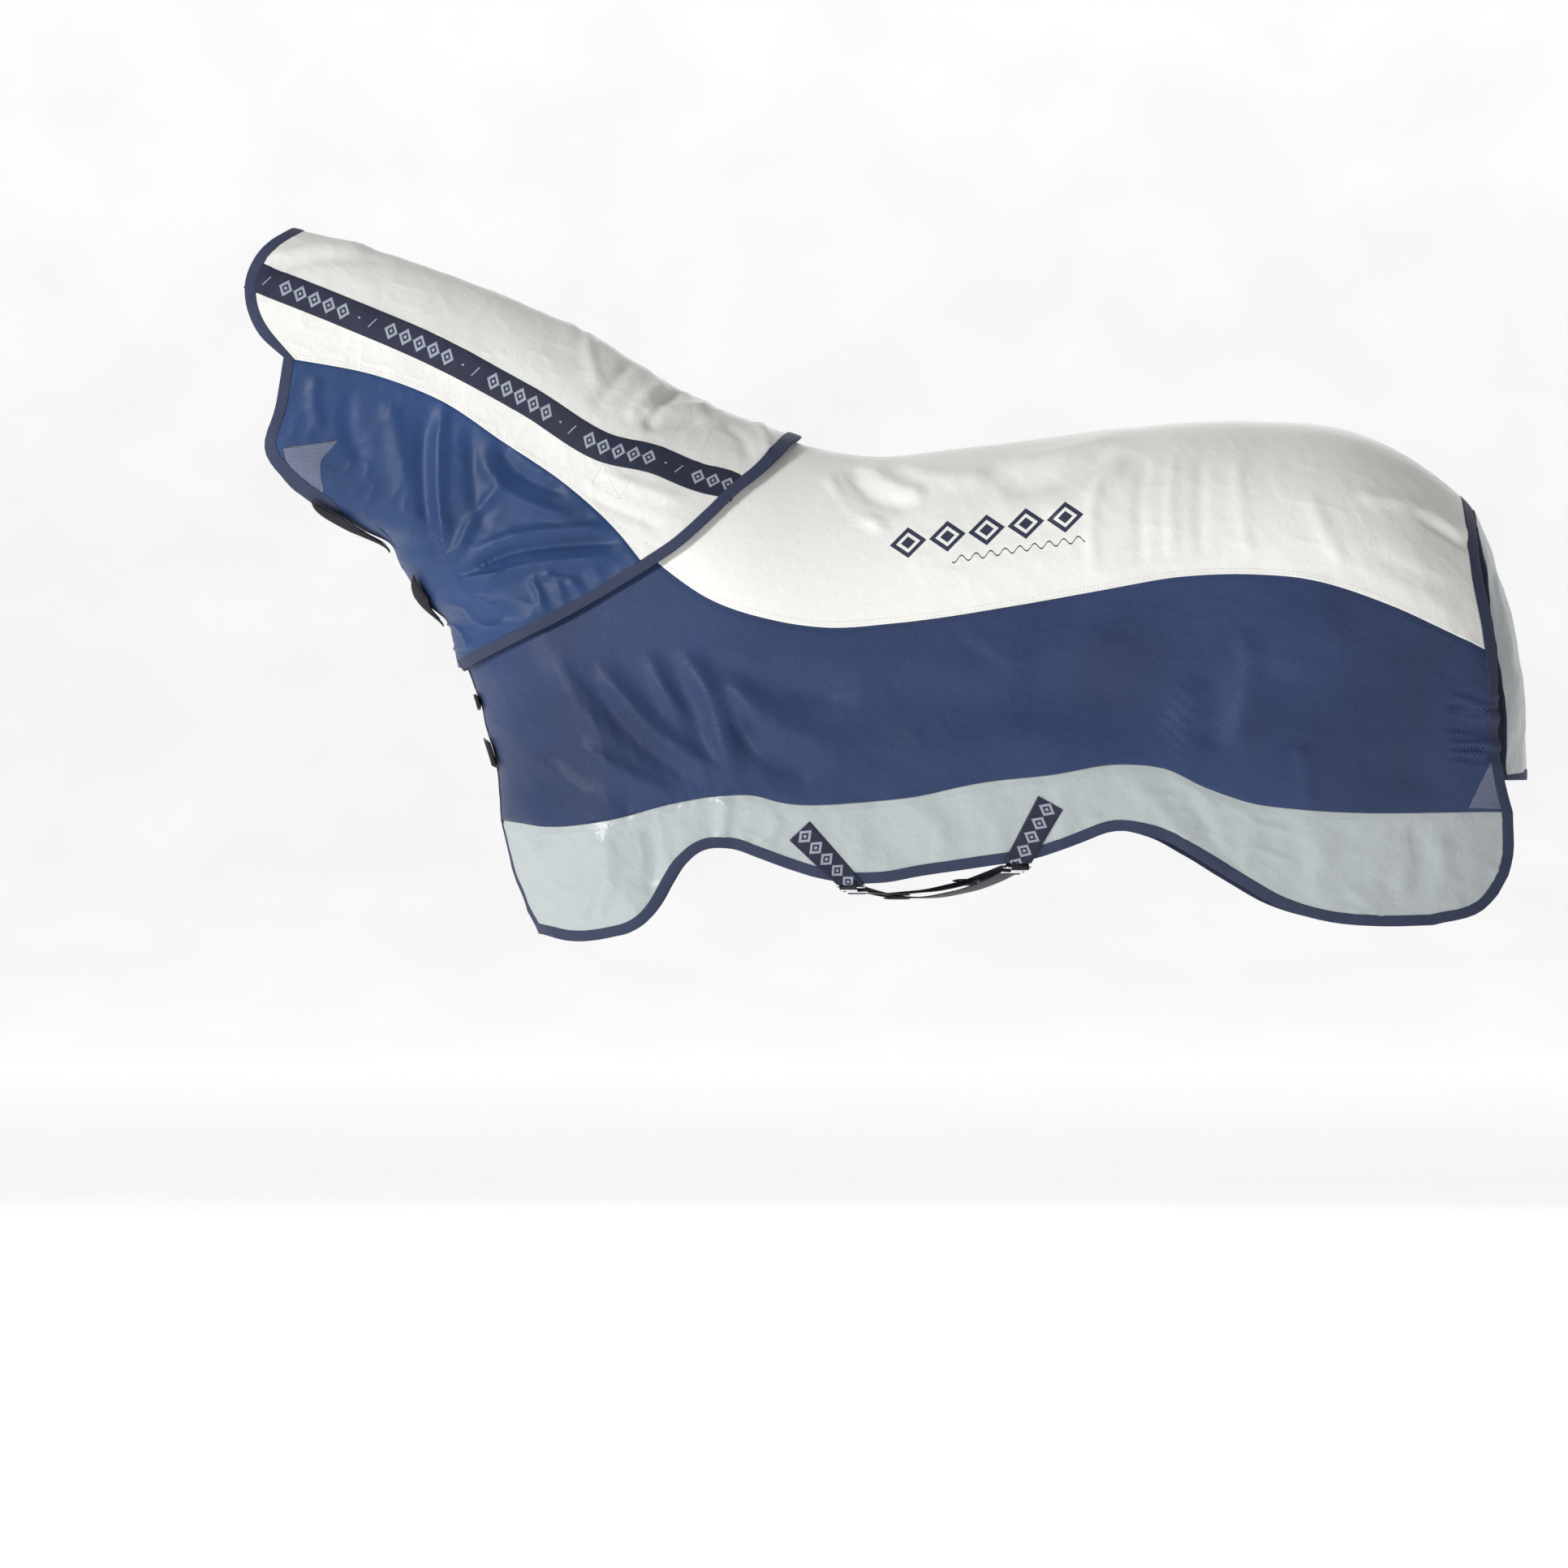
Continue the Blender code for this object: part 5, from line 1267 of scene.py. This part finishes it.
rear_vent = boundary_patch(sized([(1.213, -0.566), (1.196, -0.600), (1.172, -0.650)]),
                           sized([(1.222, -0.566), (1.226, -0.605), (1.234, -0.652)]), 26, 12)
elastic_centre, elastic_size = middle_of("left_rear_elastic")
loop_centre, _ = middle_of("left_wither_loop")
LOOP_SIZE, LOOP_ANGLE = (0.060, 0.045), 0.6
for name, side in SIDES.items():
    grid, outward = laid(rear_vent, side, body_drape, CLOTH_LIFT + VENT_WALL * 0.4)
    add_pad(f"{name}_hind_vent", grid, outward, VENT_WALL, "rug", vent_look,
            [f"{name}_rear_vent"])
    plan = rectangle(elastic_centre, elastic_size, 0, 8, 30)
    grid, outward = laid(plan, side, body_drape, -0.0022)
    add_pad(f"{name}_hind_elastic", grid, outward, 0.0014, "rug", elastic_look,
            [f"{name}_rear_elastic"])
    plan = rectangle(loop_centre, LOOP_SIZE, LOOP_ANGLE)
    grid, outward = laid(plan, side, body_drape, CLOTH_LIFT + 0.0012)
    add_pad(f"{name}_wither_landing", grid, outward, 0.0014, "rug", fleece_look,
            [f"{name}_wither_loop"])

# %% [markdown]
# ## The neck cover
# It lies over the rug like a collar, white above and mesh below, with a bound edge all round. It is lifted
# clear of the rug by its own layers, so at the shoulder its hem throws a thin shadow on the cloth below.

# %% Cover cloths
COVER_ALONG, COVER_ROWS, NECK_ROWS = 170, 74, 80
COVER_COARSE_TOP, COVER_COARSE_LOW = 8, 7
LOW_POWER = 1.6
THROAT_SLOPE = 0.4


def cover_edges(width):
    """The neck cover's front and rear edges, this far in from the finished edge."""
    middle = sized((-0.6, 0.0))
    top_shares = np.linspace(0, 1, COVER_COARSE_TOP) ** ROW_POWER
    low_shares = 1 - (1 - np.linspace(0, 1, COVER_COARSE_LOW)) ** LOW_POWER
    front_top = edge_inset(path(COVER_FRONT_UPPER, top_shares), middle, width, width)
    front_low = edge_inset(path(COVER_FRONT_LOWER, low_shares), middle, width, width)
    rear_top = edge_inset(path(COVER_REAR_UPPER, top_shares), middle, -width / NECK_TURN, width)
    rear_low = edge_inset(path(COVER_REAR_LOWER, low_shares), middle, -width, width)
    front_top[-1] = front_low[0]
    throat_z = COVER_FRONT_LOWER[-1, 1] - THROAT_SLOPE * width
    front_low[-1] = front_x(throat_z, FRONT_GAP), throat_z
    rear_top[-1] = rear_low[0]
    return front_top, front_low, rear_top, rear_low


front_top, front_low, rear_top, rear_low = cover_edges(EDGE_COVER)
cover_across = np.linspace(0, 1, COVER_ALONG)
top_knots = np.linspace(0, 1, COVER_COARSE_TOP) ** ROW_POWER
top_down = np.linspace(0, 1, COVER_ROWS) ** ROW_POWER
cover_front, cover_rear = spread(front_top, top_knots, top_down), spread(rear_top, top_knots, top_down)
cover_x = cover_front[0, 0] + (cover_rear[0, 0] - cover_front[0, 0]) * cover_across
cover_crest = np.stack([cover_x, topline(cover_x)], axis=1)
joined = path(np.concatenate([[front_top[-1]], COVER_SEAM[1:-1], [rear_top[-1]]]), cover_across)
cover_plan = patch(cover_crest, joined, cover_front, cover_rear, cover_across, top_down)
cover_halves = [laid(cover_plan, side, cover_drape, COVER_LIFT + CLOTH_LIFT)[0] for side in (-1, 1)]
add_cloth("neck_cloth", both_sides(*cover_halves), (0, 0, 1), "neck_cover", cover_look,
          ["neck_top_panel"])

# %% Neck mesh
throat_z = front_low[-1, 1] + (rear_low[-1, 1] - front_low[-1, 1]) * cover_across
throat = np.stack([front_x(throat_z, np.full(COVER_ALONG, FRONT_GAP)), throat_z], axis=1)
throat[0], throat[-1] = front_low[-1], rear_low[-1]
neck_rows = np.linspace(0, 1, NECK_ROWS)
low_knots = 1 - (1 - np.linspace(0, 1, COVER_COARSE_LOW)) ** LOW_POWER
neck_down = 1 - (1 - neck_rows) ** LOW_POWER
neck_front, neck_rear = spread(front_low, low_knots, neck_down), spread(rear_low, low_knots, neck_down)
raised = joined + tuck
neck_front[0], neck_rear[0] = raised[0], raised[-1]
neck_plan = patch(raised, throat, neck_front, neck_rear, cover_across, neck_down)
for name, side in SIDES.items():
    grid, outward = laid(neck_plan, side, cover_drape, COVER_LIFT + under_lap(neck_plan, COVER_SEAM))
    add_cloth(f"{name}_neck_cloth", grid, (0, side, 0), "neck_cover", neck_look,
              [f"{name}_neck_mesh"], level=True)

# %% Cover bindings
edges_outer, edges_inner = cover_edges(0.0), cover_edges(BINDING_WIDTH)
for name, first in (("poll", 0), ("shoulder", 2)):
    outer, inner = (chained(edges[first], edges[first + 1]) for edges in (edges_outer, edges_inner))
    sections = over_top(outer, inner, cover_drape, COVER_LIFT + BINDING_LIFT)
    node = {"poll": "neck_front_binding", "shoulder": "neck_rear_binding"}[name]
    add_tube(f"{name}_binding", sections, "neck_cover", binding_look, [node])
print("both ends of the cover are bound")

# %% Tapes, jaw vents and hidden hook pads
TAPE_WIDTH = 0.050
TAPE_WALL = 0.0012
TAPE_DIP, TAPE_DIP_SHARE = 0.0009, 0.022  # how far its ends sink, over this share of its length
HOOK_PAD_SINK = 0.0052  # the hook pads lie this far under the cover, on its inside
TAPE_TUCK = sized([(-1.013, 0.307), (-0.136, -0.086)])  # its ends run under the bindings
tape_line = path(np.concatenate([TAPE_TUCK[:1], TAPE_LINE, TAPE_TUCK[1:]]), np.linspace(0, 1, 190))
tape_share = np.linspace(0, 1, len(tape_line))
tape_square = inset(tape_line, (0, 2), 1.0) - tape_line
tape_plan = tape_line[:, None] + tape_square[:, None] * rim_crowded(11)[None, :, None] * TAPE_WIDTH / 2
jaw_vent = boundary_patch(sized([(-0.948, -0.002), (-0.941, -0.022), (-0.918, -0.046), (-0.876, -0.076)]),
                          sized([(-0.850, 0.010), (-0.864, -0.006), (-0.881, -0.027), (-0.882, -0.048),
                                 (-0.872, -0.076)]), 30, 24)
for name, side in SIDES.items():
    tape_ends = np.clip(np.minimum(tape_share, 1 - tape_share) / TAPE_DIP_SHARE, 0, 1)[:, None]
    lift = COVER_LIFT + CLOTH_LIFT + TAPE_WALL * 0.6 - TAPE_DIP * (1 - tape_ends)
    grid, outward = laid(tape_plan, side, cover_drape, lift)
    add_pad(f"{name}_woven_tape", grid, outward, TAPE_WALL, "neck_cover", tape_look,
            [f"{name}_neck_tape"])
    grid, outward = laid(jaw_vent, side, cover_drape, COVER_LIFT + CLOTH_LIFT + VENT_WALL * 0.4)
    add_pad(f"{name}_throat_vent", grid, outward, VENT_WALL, "neck_cover", vent_look,
            [f"{name}_jaw_vent"])
    hook_plan = rectangle(loop_centre, LOOP_SIZE, LOOP_ANGLE)
    grid, outward = laid(hook_plan, side, lambda x, z, side: 0 * x, COVER_LIFT - HOOK_PAD_SINK)
    add_pad(f"{name}_wither_fastener", grid, outward, 0.0014, "neck_cover", fleece_look,
            [f"{name}_wither_hook"])

# %% [markdown]
# ## Closures
# Short bands wrap from the right side of the slit to the left and hold by hook-and-loop. Each is stiff
# woven webbing, with a hook-and-loop face set in from its edges near its loose end.

# %% Bands and their landing pads
STRAP_REACH = {"upper_throat": (0.052, 0.100), "lower_throat": (0.050, 0.085),
               "upper_chest": (0.040, 0.050), "lower_chest": (0.050, 0.062)}
STRAP_HEIGHT = {"upper_throat": 0.030, "lower_throat": 0.042, "upper_chest": 0.030, "lower_chest": 0.050}
STRAP_CENTRE = {"upper_throat": -0.164, "lower_throat": -0.290, "upper_chest": -0.455, "lower_chest": -0.545}
STRAP_SLOPE = {"upper_throat": 0.7, "lower_throat": 0.6, "upper_chest": 0.0, "lower_chest": -0.1}
STRAP_WALL = 0.0030
LANDING_WALL = 0.0014
LANDING_MARGIN = 0.008
LANDING_LIFT = 0.0075
BAND_LIFT = 0.0089  # from the cloth's inner face to the band's
FACE_WALL = 0.0012
FACE_MARGIN = 0.003
BAND_COLUMNS = 11


def wrap(centre, height, slope, first, last, rows=40):
    """A band round the front of the horse, from half-width first (right, +) to last (left, -)."""
    y = np.linspace(first, last, rows)[:, None]
    up = rim_crowded(BAND_COLUMNS)[None] * height / 2
    z = centre + up + slope * np.abs(y)
    x = front_x(z, np.abs(y) + 0 * up)
    return np.stack([x, y + 0 * up, z], axis=-1)


for name in STRAP_REACH:
    right, left = STRAP_REACH[name]
    on_cover = "throat" in name
    base = COVER_LIFT if on_cover else 0.0
    centre, height, slope = STRAP_CENTRE[name] * DOWN, STRAP_HEIGHT[name], STRAP_SLOPE[name]
    band = wrap(centre, height, slope, right, -left)
    outward = normals(band)
    lift = base + BAND_LIFT + LANDING_WALL
    add_pad(f"{name}_band", band + (lift + STRAP_WALL / 2) * outward, outward, STRAP_WALL,
            f"{name}_closure", webbing_look, [f"{name}_strap"])
    face = wrap(centre, height - FACE_MARGIN * 2, slope, -left * 0.30, -left + FACE_MARGIN)
    outward = normals(face)
    add_pad(f"{name}_face", face + (lift + STRAP_WALL + FACE_WALL * 0.3) * outward, outward, FACE_WALL,
            f"{name}_closure", fleece_look)
    landing = wrap(centre, height - LANDING_MARGIN, slope, -BINDING_WIDTH, -left + LANDING_MARGIN, 16)
    outward = normals(landing)
    landing = landing + (base + LANDING_LIFT + LANDING_WALL / 2) * outward
    add_pad(f"{name}_landing", landing, outward, LANDING_WALL, "neck_cover" if on_cover else "rug",
            fleece_look, [f"{name}_patch"])

# %% [markdown]
# ## The tail flap
# A trapezoid of the skirt's cloth hangs from the top of the rear edge and stands away over the tail. Its
# inside is painted dark as shade, and its bound edge curls in towards the hindquarters.

# %% The flap's shape
FLAP_HALF_WIDTH = (0.115, 0.175)
FLAP_BULGE = 0.045
FLAP_GAP = 0.006
FLAP_FALL = 0.050
FLAP_BULGE_START = 2.2
flap_line = path(sized([(1.190, -0.11), (1.224, -0.19), (1.252, -0.277), (1.2725, -0.365),
                        (1.283, -0.482), (1.284, -0.60)]), np.linspace(0, 1, 60))
flap_length = np.linalg.norm(np.diff(flap_line, axis=0), axis=1).sum()


def flap_point(u, v, shrink):
    """u from -1 to 1 across and v from 0 to 1 down; shrink is the distance in from the edge. The sides fall
    near the top and curl forward by the bulge times u squared."""
    v = v * (1 - shrink / flap_length)
    half = FLAP_HALF_WIDTH[0] + (FLAP_HALF_WIDTH[1] - FLAP_HALF_WIDTH[0]) * v - shrink
    share = np.linspace(0, 1, len(flap_line))
    x, z = np.interp(v, share, flap_line[:, 0]), np.interp(v, share, flap_line[:, 1])
    fall = FLAP_FALL * (u * half / FLAP_HALF_WIDTH[0]) ** 2 * (1 - v) ** 2
    bulge = FLAP_BULGE * np.clip(v * FLAP_BULGE_START, 0, 1) * u**2
    wrinkle = ripple(u * half + v * 0.1, v * 0.5, 0.040, 21) * 0.0030 + ripple(u, v, 0.35, 22) * 0.0030
    slant = ripple(v * 0.5 - np.abs(u) * 0.08, u * 0.2, 0.030, 23) * 0.0022 * u**2
    x = x - bulge + FLAP_GAP + (wrinkle + slant) * np.clip(v * 4, 0, 1)
    return np.stack([x, u * half, z - fall], axis=-1)


print("flap is", round(flap_length, 3), "m long")

# %% Flap and its binding
FLAP_CLOTH_OUT, FLAP_TAPE_OUT = 0.002, 0.0014  # how far each lies behind the flap's shape
RIM_POINTS = 60
flap_u, flap_v = np.linspace(-1, 1, 90)[:, None], np.linspace(0, 1, 90)[None]
backwards = np.array([1.0, 0, 0])
add_cloth("flap_cloth", flap_point(flap_u, flap_v, EDGE_COVER) + backwards * FLAP_CLOTH_OUT, backwards,
          "tail_cover", silver_look, ["tail_flap"], inner_face_look=painted_inner_shade_look)
flap_side, flap_foot = np.linspace(0, 1, RIM_POINTS), np.linspace(-1, 1, RIM_POINTS)
rim_u = np.concatenate([np.full(RIM_POINTS, -1.0), flap_foot[1:-1], np.full(RIM_POINTS, 1.0)])[:, None]
rim_v = np.concatenate([flap_side, np.ones(RIM_POINTS - 2), flap_side[::-1]])[:, None]
section_a, section_n = flat_section(16)
rim = flap_point(rim_u, rim_v, (section_a[None] + 1) / 2 * BINDING_WIDTH)
rim_out = np.cross(np.gradient(rim[:, 0], axis=0), rim[:, 0] - rim[:, 8])
rim_out /= np.linalg.norm(rim_out, axis=1, keepdims=True)
rim_out *= np.sign(rim_out[:, :1].mean())
rim = rim + backwards * FLAP_TAPE_OUT + rim_out[:, None] * section_n[None, :, None] * BINDING_THICKNESS / 2
add_tube("flap_binding", rim, "tail_cover", binding_look, ["tail_flap_binding"])

# %% [markdown]
# ## Belly straps
# Two crossed straps start from webbing sewn on the right of the skirt and hook into metal keepers on the
# left. Webbing is woven and flat, so it is a strip with a rounded rim, never a round cord.

# %% Tabs
TAB_WIDTH, TAB_WALL, TAB_OVERHANG = 0.050, 0.0022, 0.003
PLATE_SIZE = (0.052, 0.026)
PLATE_DROP = 0.006
FOOT_INSET = 0.008
TAB_ENDS = {"front": (sized((-0.022, -0.690)), sized((0.070, -0.779))),
            "rear": (sized((0.425, -0.640)), sized((0.366, -0.740)))}


def hem_height(x):
    points = np.concatenate([[HEM[0] - np.array([0.1, 0])], HEM])
    return smooth(x, points[:, 0], points[:, 1])


def tab_plan(top, end):
    """Webbing from its top to a level cut just under the hem."""
    end = np.array([end[0], hem_height(end[0]) - TAB_OVERHANG])
    direction = (end - top) / np.linalg.norm(end - top)
    square = np.array([-direction[1], direction[0]]) * TAB_WIDTH / 2
    level = np.array([math.copysign(TAB_WIDTH / 2, square[0]), 0])
    along = (rim_crowded(48)[:, None, None] + 1) / 2
    across = rim_crowded(11)[None, :, None]
    return top + along * (end - top) + across * ((1 - along) * square + along * level)


tab_rows = {}
for place, (top, end) in TAB_ENDS.items():
    plan = tab_plan(top, end)
    over_hem = near(plan[..., 1] - hem_height(plan[..., 0]), -1, 0.020, 0.012)
    for name, side in SIDES.items():
        grid, outward = laid(plan, side, body_drape, CLOTH_LIFT + 0.0013 + 0.0022 * over_hem)
        tab_rows[name, place] = grid, outward
        add_pad(f"{name}_{place}_webbing", grid, outward, TAB_WALL, "rug", tab_look,
                [f"{name}_{place}_tab"])
print(len(tab_rows), "tabs")

# %% Rings and strips for the belly straps
BELLY_WIDTH, BELLY_WALL = 0.038, 0.0026
STRAP_SAG = {"front": 0.034, "rear": 0.020}
ROUTES = {"front": ("front", "rear"), "rear": ("rear", "front")}
HOOK_BASE = 0.020
HOOK_DROP = 0.0085  # the hook's bar runs this far under the keeper's middle
HOOK_REACH = 0.0170  # from the keeper's middle back to the hook's loop
TONGUE_WIDTH, TONGUE_WALL, TONGUE_RISE = 0.024, 0.0030, 0.009
SLIDER_PLACE = 0.30
UP = np.array([0, 0, 1.0])
ROOT_FOLD = np.array([  # along the strap and up, from where the strap starts
    [-0.012, 0.0135], [-0.0135, 0.006], [-0.0115, -0.0005], [-0.004, -0.0026], [0.012, -0.0040],
])
HOOK_ARM = np.array([  # along the strap and up, from the keeper's middle
    [-HOOK_REACH + 0.0055, -HOOK_DROP], [-0.006, -HOOK_DROP], [-0.0015, -HOOK_DROP + 0.001],
    [0.0003, -HOOK_DROP + 0.004], [0.0005, 0.0], [-0.0008, TONGUE_RISE * 0.6],
])


def tab_foot(end, side):
    """Where a belly strap meets the tab: just under the hem binding."""
    beside = np.linspace(-1, 1, 9) * PLATE_SIZE[0] * 0.6
    z = hem_height(end[0] + beside).min() - PLATE_DROP
    return np.array([end[0], side * (half_width(end[0], z) - FOOT_INSET), z])


def add_ring(name, centre, run, square, size, bar, body, look, nodes=(), up=UP):
    """A rounded rectangle of flat bar: an oval path in the plane of run and square, with a flat section."""
    p, q = flat_section(56, 0.55)
    line = np.stack([p * (size[0] - bar[0]) / 2, q * (size[1] - bar[0]) / 2], axis=1)
    ahead = np.roll(line, -1, axis=0) - np.roll(line, 1, axis=0)
    ahead /= np.linalg.norm(ahead, axis=1, keepdims=True)
    out = np.stack([ahead[:, 1], -ahead[:, 0]], axis=1)
    a, n = flat_section(14, 0.6)
    axes = np.stack([run, square])
    points = (line @ axes)[:, None] + (out @ axes)[:, None] * a[None, :, None] * bar[0] / 2
    points = centre + points + up * n[None, :, None] * bar[1] / 2
    return add_tube(name, points, body, look, nodes, closed=True)


def add_strip(name, line, square, outward, width, wall, body, look, nodes=()):
    """A flat strip along a line of points."""
    grid = line[:, None] + rim_crowded(11)[None, :, None] * square * width / 2
    return add_pad(name, grid, np.broadcast_to(outward[:, None], grid.shape), wall, body, look, nodes)


def turned(line, square):
    """The normals of a line of points in the plane square to a direction."""
    ahead = np.gradient(line, axis=0)
    outward = np.cross(square, ahead)
    return outward / np.linalg.norm(outward, axis=1, keepdims=True)


# %% Straps, their hooks, keepers and sliders
for name, (sewn, hooked) in ROUTES.items():
    start, end = tab_foot(TAB_ENDS[sewn][1], 1), tab_foot(TAB_ENDS[hooked][1], -1)
    body = f"{name}_belly_strap"
    run = (end - start) * np.array([1, 1, 0])
    run /= np.linalg.norm(run)
    square = np.array([-run[1], run[0], 0])
    tail = end - run * (HOOK_REACH + HOOK_BASE / 2) - UP * HOOK_DROP
    t = np.linspace(0, 1, 90)[:, None]
    line = start + t * (tail - start) - 4 * t * (1 - t) * UP * STRAP_SAG[name]
    line = line + UP * ripple(t[:, :1], 0 * t + 5, 0.13, 31) * 0.0012
    add_strip(f"{name}_belly_webbing", line, square, turned(line, square), BELLY_WIDTH, BELLY_WALL, body,
              webbing_look, [f"{name}_surcingle"])
    fold = path(ROOT_FOLD, np.linspace(0, 1, 24))
    root = start + fold[:, :1] * run + fold[:, 1:] * UP
    add_strip(f"{name}_strap_root", root, square, turned(root, square), BELLY_WIDTH - 0.004, 0.0018, "rug",
              webbing_look)
    add_ring(f"left_{hooked}_keeper", end, run, square, (PLATE_SIZE[1], PLATE_SIZE[0]), (0.0042, 0.0032),
             "rug", steel_look, [f"left_{hooked}_slot_plate"])
    bar = end + run * (PLATE_SIZE[1] / 2 - 0.0021)
    turn = np.linspace(0.1, 1.9, 24)[:, None] * math.pi
    hoop = bar + run * np.sin(turn) * 0.0038 + UP * np.cos(turn) * 0.0042
    hoop[0] += UP * 0.007
    hoop[-1] += UP * 0.007
    add_strip(f"left_{hooked}_keeper_loop", hoop, square, turned(hoop, square), 0.034, 0.0014, "rug",
              webbing_look)
    loop = end - run * HOOK_REACH - UP * HOOK_DROP
    add_ring(f"{name}_hook_loop", loop, run, square, (0.014, BELLY_WIDTH + 0.009), (0.0034, 0.0034), body,
             steel_look)
    arm = path(HOOK_ARM, np.linspace(0, 1, 30))
    tongue = end + arm[:, :1] * run + arm[:, 1:] * UP
    add_strip(f"{name}_hook_tongue", tongue, square, turned(tongue, square), TONGUE_WIDTH, TONGUE_WALL, body,
              steel_look, [f"{name}_surcingle_hook"])
    wrapped = loop - run * 0.0053
    turn = np.linspace(-0.35, 1.35, 26)[:, None] * math.pi
    around = wrapped + run * np.sin(turn) * 0.0036 + UP * -np.cos(turn) * 0.0036
    add_strip(f"{name}_strap_fold", around, square, turned(around, square), BELLY_WIDTH - 0.003, 0.0016, body,
              webbing_look)
    sag = 4 * SLIDER_PLACE * (1 - SLIDER_PLACE) * UP * STRAP_SAG[name]
    at_slider = start + SLIDER_PLACE * (tail - start) - sag
    slope = tail - start - 4 * (1 - 2 * SLIDER_PLACE) * UP * STRAP_SAG[name]
    slope /= np.linalg.norm(slope)
    lift = np.cross(slope, square)
    for face, offset in (("upper", 1), ("lower", -1)):
        add_ring(f"{name}_slider_{face}", at_slider + offset * lift * 0.0034, slope, square, (0.030, 0.049),
                 (0.0062, 0.0026), f"{name}_strap_slider", nylon_look,
                 [f"{name}_surcingle_slider"] if offset > 0 else (), up=lift)
    print(name, "strap is", round(float(np.linalg.norm(np.diff(line, axis=0), axis=1).sum()), 3), "m long")

# %% [markdown]
# ## Stitching
# Thread is what makes a seam read as sewn. Each stitch is a grain of six corners, a few millimetres long,
# and thousands of them follow the seams, the bindings, the tapes and the boxed crosses on the cover.

# %% Rows of stitches
STITCH_LENGTH, STITCH_WIDTH, STITCH_PITCH = 0.0046, 0.0011, 0.0066
GRAIN = np.array([[1, 0, 0], [-1, 0, 0], [0, 1, 0], [0, -1, 0], [0, 0, 1], [0, 0, -1]], float)
GRAIN_FACES = np.array([
    [0, 2, 4], [2, 1, 4], [1, 3, 4], [3, 0, 4], [2, 0, 5], [1, 2, 5], [3, 1, 5], [0, 3, 5],
])


def stitch_points(line, outward):
    """Corners of all the stitches along a line: evenly spaced by length, each an octahedron drawn out along
    the line and flattened on the cloth."""
    length = np.concatenate([[0], np.cumsum(np.linalg.norm(np.diff(line, axis=0), axis=1))])
    centres = np.arange(STITCH_PITCH / 2, length[-1], STITCH_PITCH)
    place = np.stack([np.interp(centres, length, line[:, k]) for k in range(3)], axis=1)
    ahead = np.stack([np.interp(centres, length, np.gradient(line[:, k])) for k in range(3)], axis=1)
    up = np.stack([np.interp(centres, length, outward[:, k]) for k in range(3)], axis=1)
    ahead /= np.linalg.norm(ahead, axis=1, keepdims=True)
    beside = np.cross(up, ahead)
    axes = np.stack([ahead * STITCH_LENGTH / 2, beside * STITCH_WIDTH / 2, up * STITCH_WIDTH / 2], axis=1)
    return place[:, None] + np.einsum("ck,nkx->ncx", GRAIN, axes)


def add_stitches(name, lines, body, look):
    """One piece from many rows of stitches."""
    grains = np.concatenate([stitch_points(line, outward) for line, outward in lines])
    faces = (np.arange(len(grains))[:, None, None] * 6 + GRAIN_FACES[None]).reshape(-1, 3)
    faces = np.concatenate([faces, faces[:, 2:]], axis=1)
    piece = new_piece(name, grains.reshape(-1, 3), faces)
    finish(piece, body, look)
    print(name, "has", len(grains), "stitches")
    return piece


def boxed_cross(centre, size, angle):
    """The rectangle and its diagonals that fix a pad from behind, as side-view lines."""
    a, b = size[0] / 2, size[1] / 2
    corners = np.array([(-a, -b), (a, -b), (a, b), (-a, b), (-a, -b), (a, b), (a, -b), (-a, b)])
    turn = np.array([[math.cos(angle), math.sin(angle)], [-math.sin(angle), math.cos(angle)]])
    placed = np.asarray(centre) + corners @ turn
    order = [(0, 1), (1, 2), (2, 3), (3, 4), (0, 2), (1, 3)]
    return [placed[i] + np.linspace(0, 1, 20)[:, None] * (placed[j] - placed[i]) for i, j in order]


# %% Sew the seams, the bindings, the tapes and the boxed crosses
STITCH_DROP = 0.012  # the skirt's row lies this far under its seam
STITCH_INSET = BINDING_WIDTH - 0.0035
SEAM_ROWS = (0.004, 0.010)  # the two rows above a white cloth's lower edge
inner_rim, neck_inner = body_rim(Stations(STITCH_INSET)), neckline(Stations(STITCH_INSET))
stitched_edges = cover_edges(STITCH_INSET)
on_cloth = CLOTH_LIFT + 0.0002
on_binding = CLOTH_LIFT / 2 + 0.0004 + BINDING_THICKNESS / 2
CROSSES = (  # middle, size and turn of each boxed cross, over the hidden hook pads and at the shoulder
    ((-0.219, 0.013), (0.058, 0.038), -0.40), ((-0.357, -0.068), (0.058, 0.042), -0.50),
)
for name, side in SIDES.items():
    pale = [laid(lower[3:-3] - np.array([0, STITCH_DROP]), side, body_drape, on_cloth)]
    bright = [laid(upper[3:-3] + np.array([0, gap]), side, body_drape, on_cloth) for gap in SEAM_ROWS]
    dark = [laid(row, side, body_drape, on_binding) for row in (inner_rim, neck_inner)]
    for place in TAB_ENDS:
        grid, outward = tab_rows[name, place]
        dark += [(grid[:, k] + outward[:, k] * 0.0012, outward[:, k]) for k in (2, -3)]
    add_stitches(f"{name}_skirt_stitching", pale, "rug", pale_thread_look)
    add_stitches(f"{name}_back_stitching", bright, "rug", white_thread_look)
    add_stitches(f"{name}_binding_stitching", dark, "rug", dark_thread_look)
    on_neck = COVER_LIFT + on_cloth
    bright = [laid(joined[3:-3] + np.array([0, gap]), side, cover_drape, on_neck) for gap in SEAM_ROWS]
    for box in CROSSES:
        bright += [laid(row, side, cover_drape, on_neck) for row in boxed_cross(*box)]
    dark = [laid(tape_plan[:, k], side, cover_drape, on_neck + TAPE_WALL) for k in (1, -2)]
    cover_rims = [chained(stitched_edges[k], stitched_edges[k + 1]) for k in (0, 2)]
    dark += [laid(row, side, cover_drape, COVER_LIFT + on_binding) for row in cover_rims]
    add_stitches(f"{name}_neck_stitching", bright, "neck_cover", white_thread_look)
    add_stitches(f"{name}_tape_stitching", dark, "neck_cover", dark_thread_look)
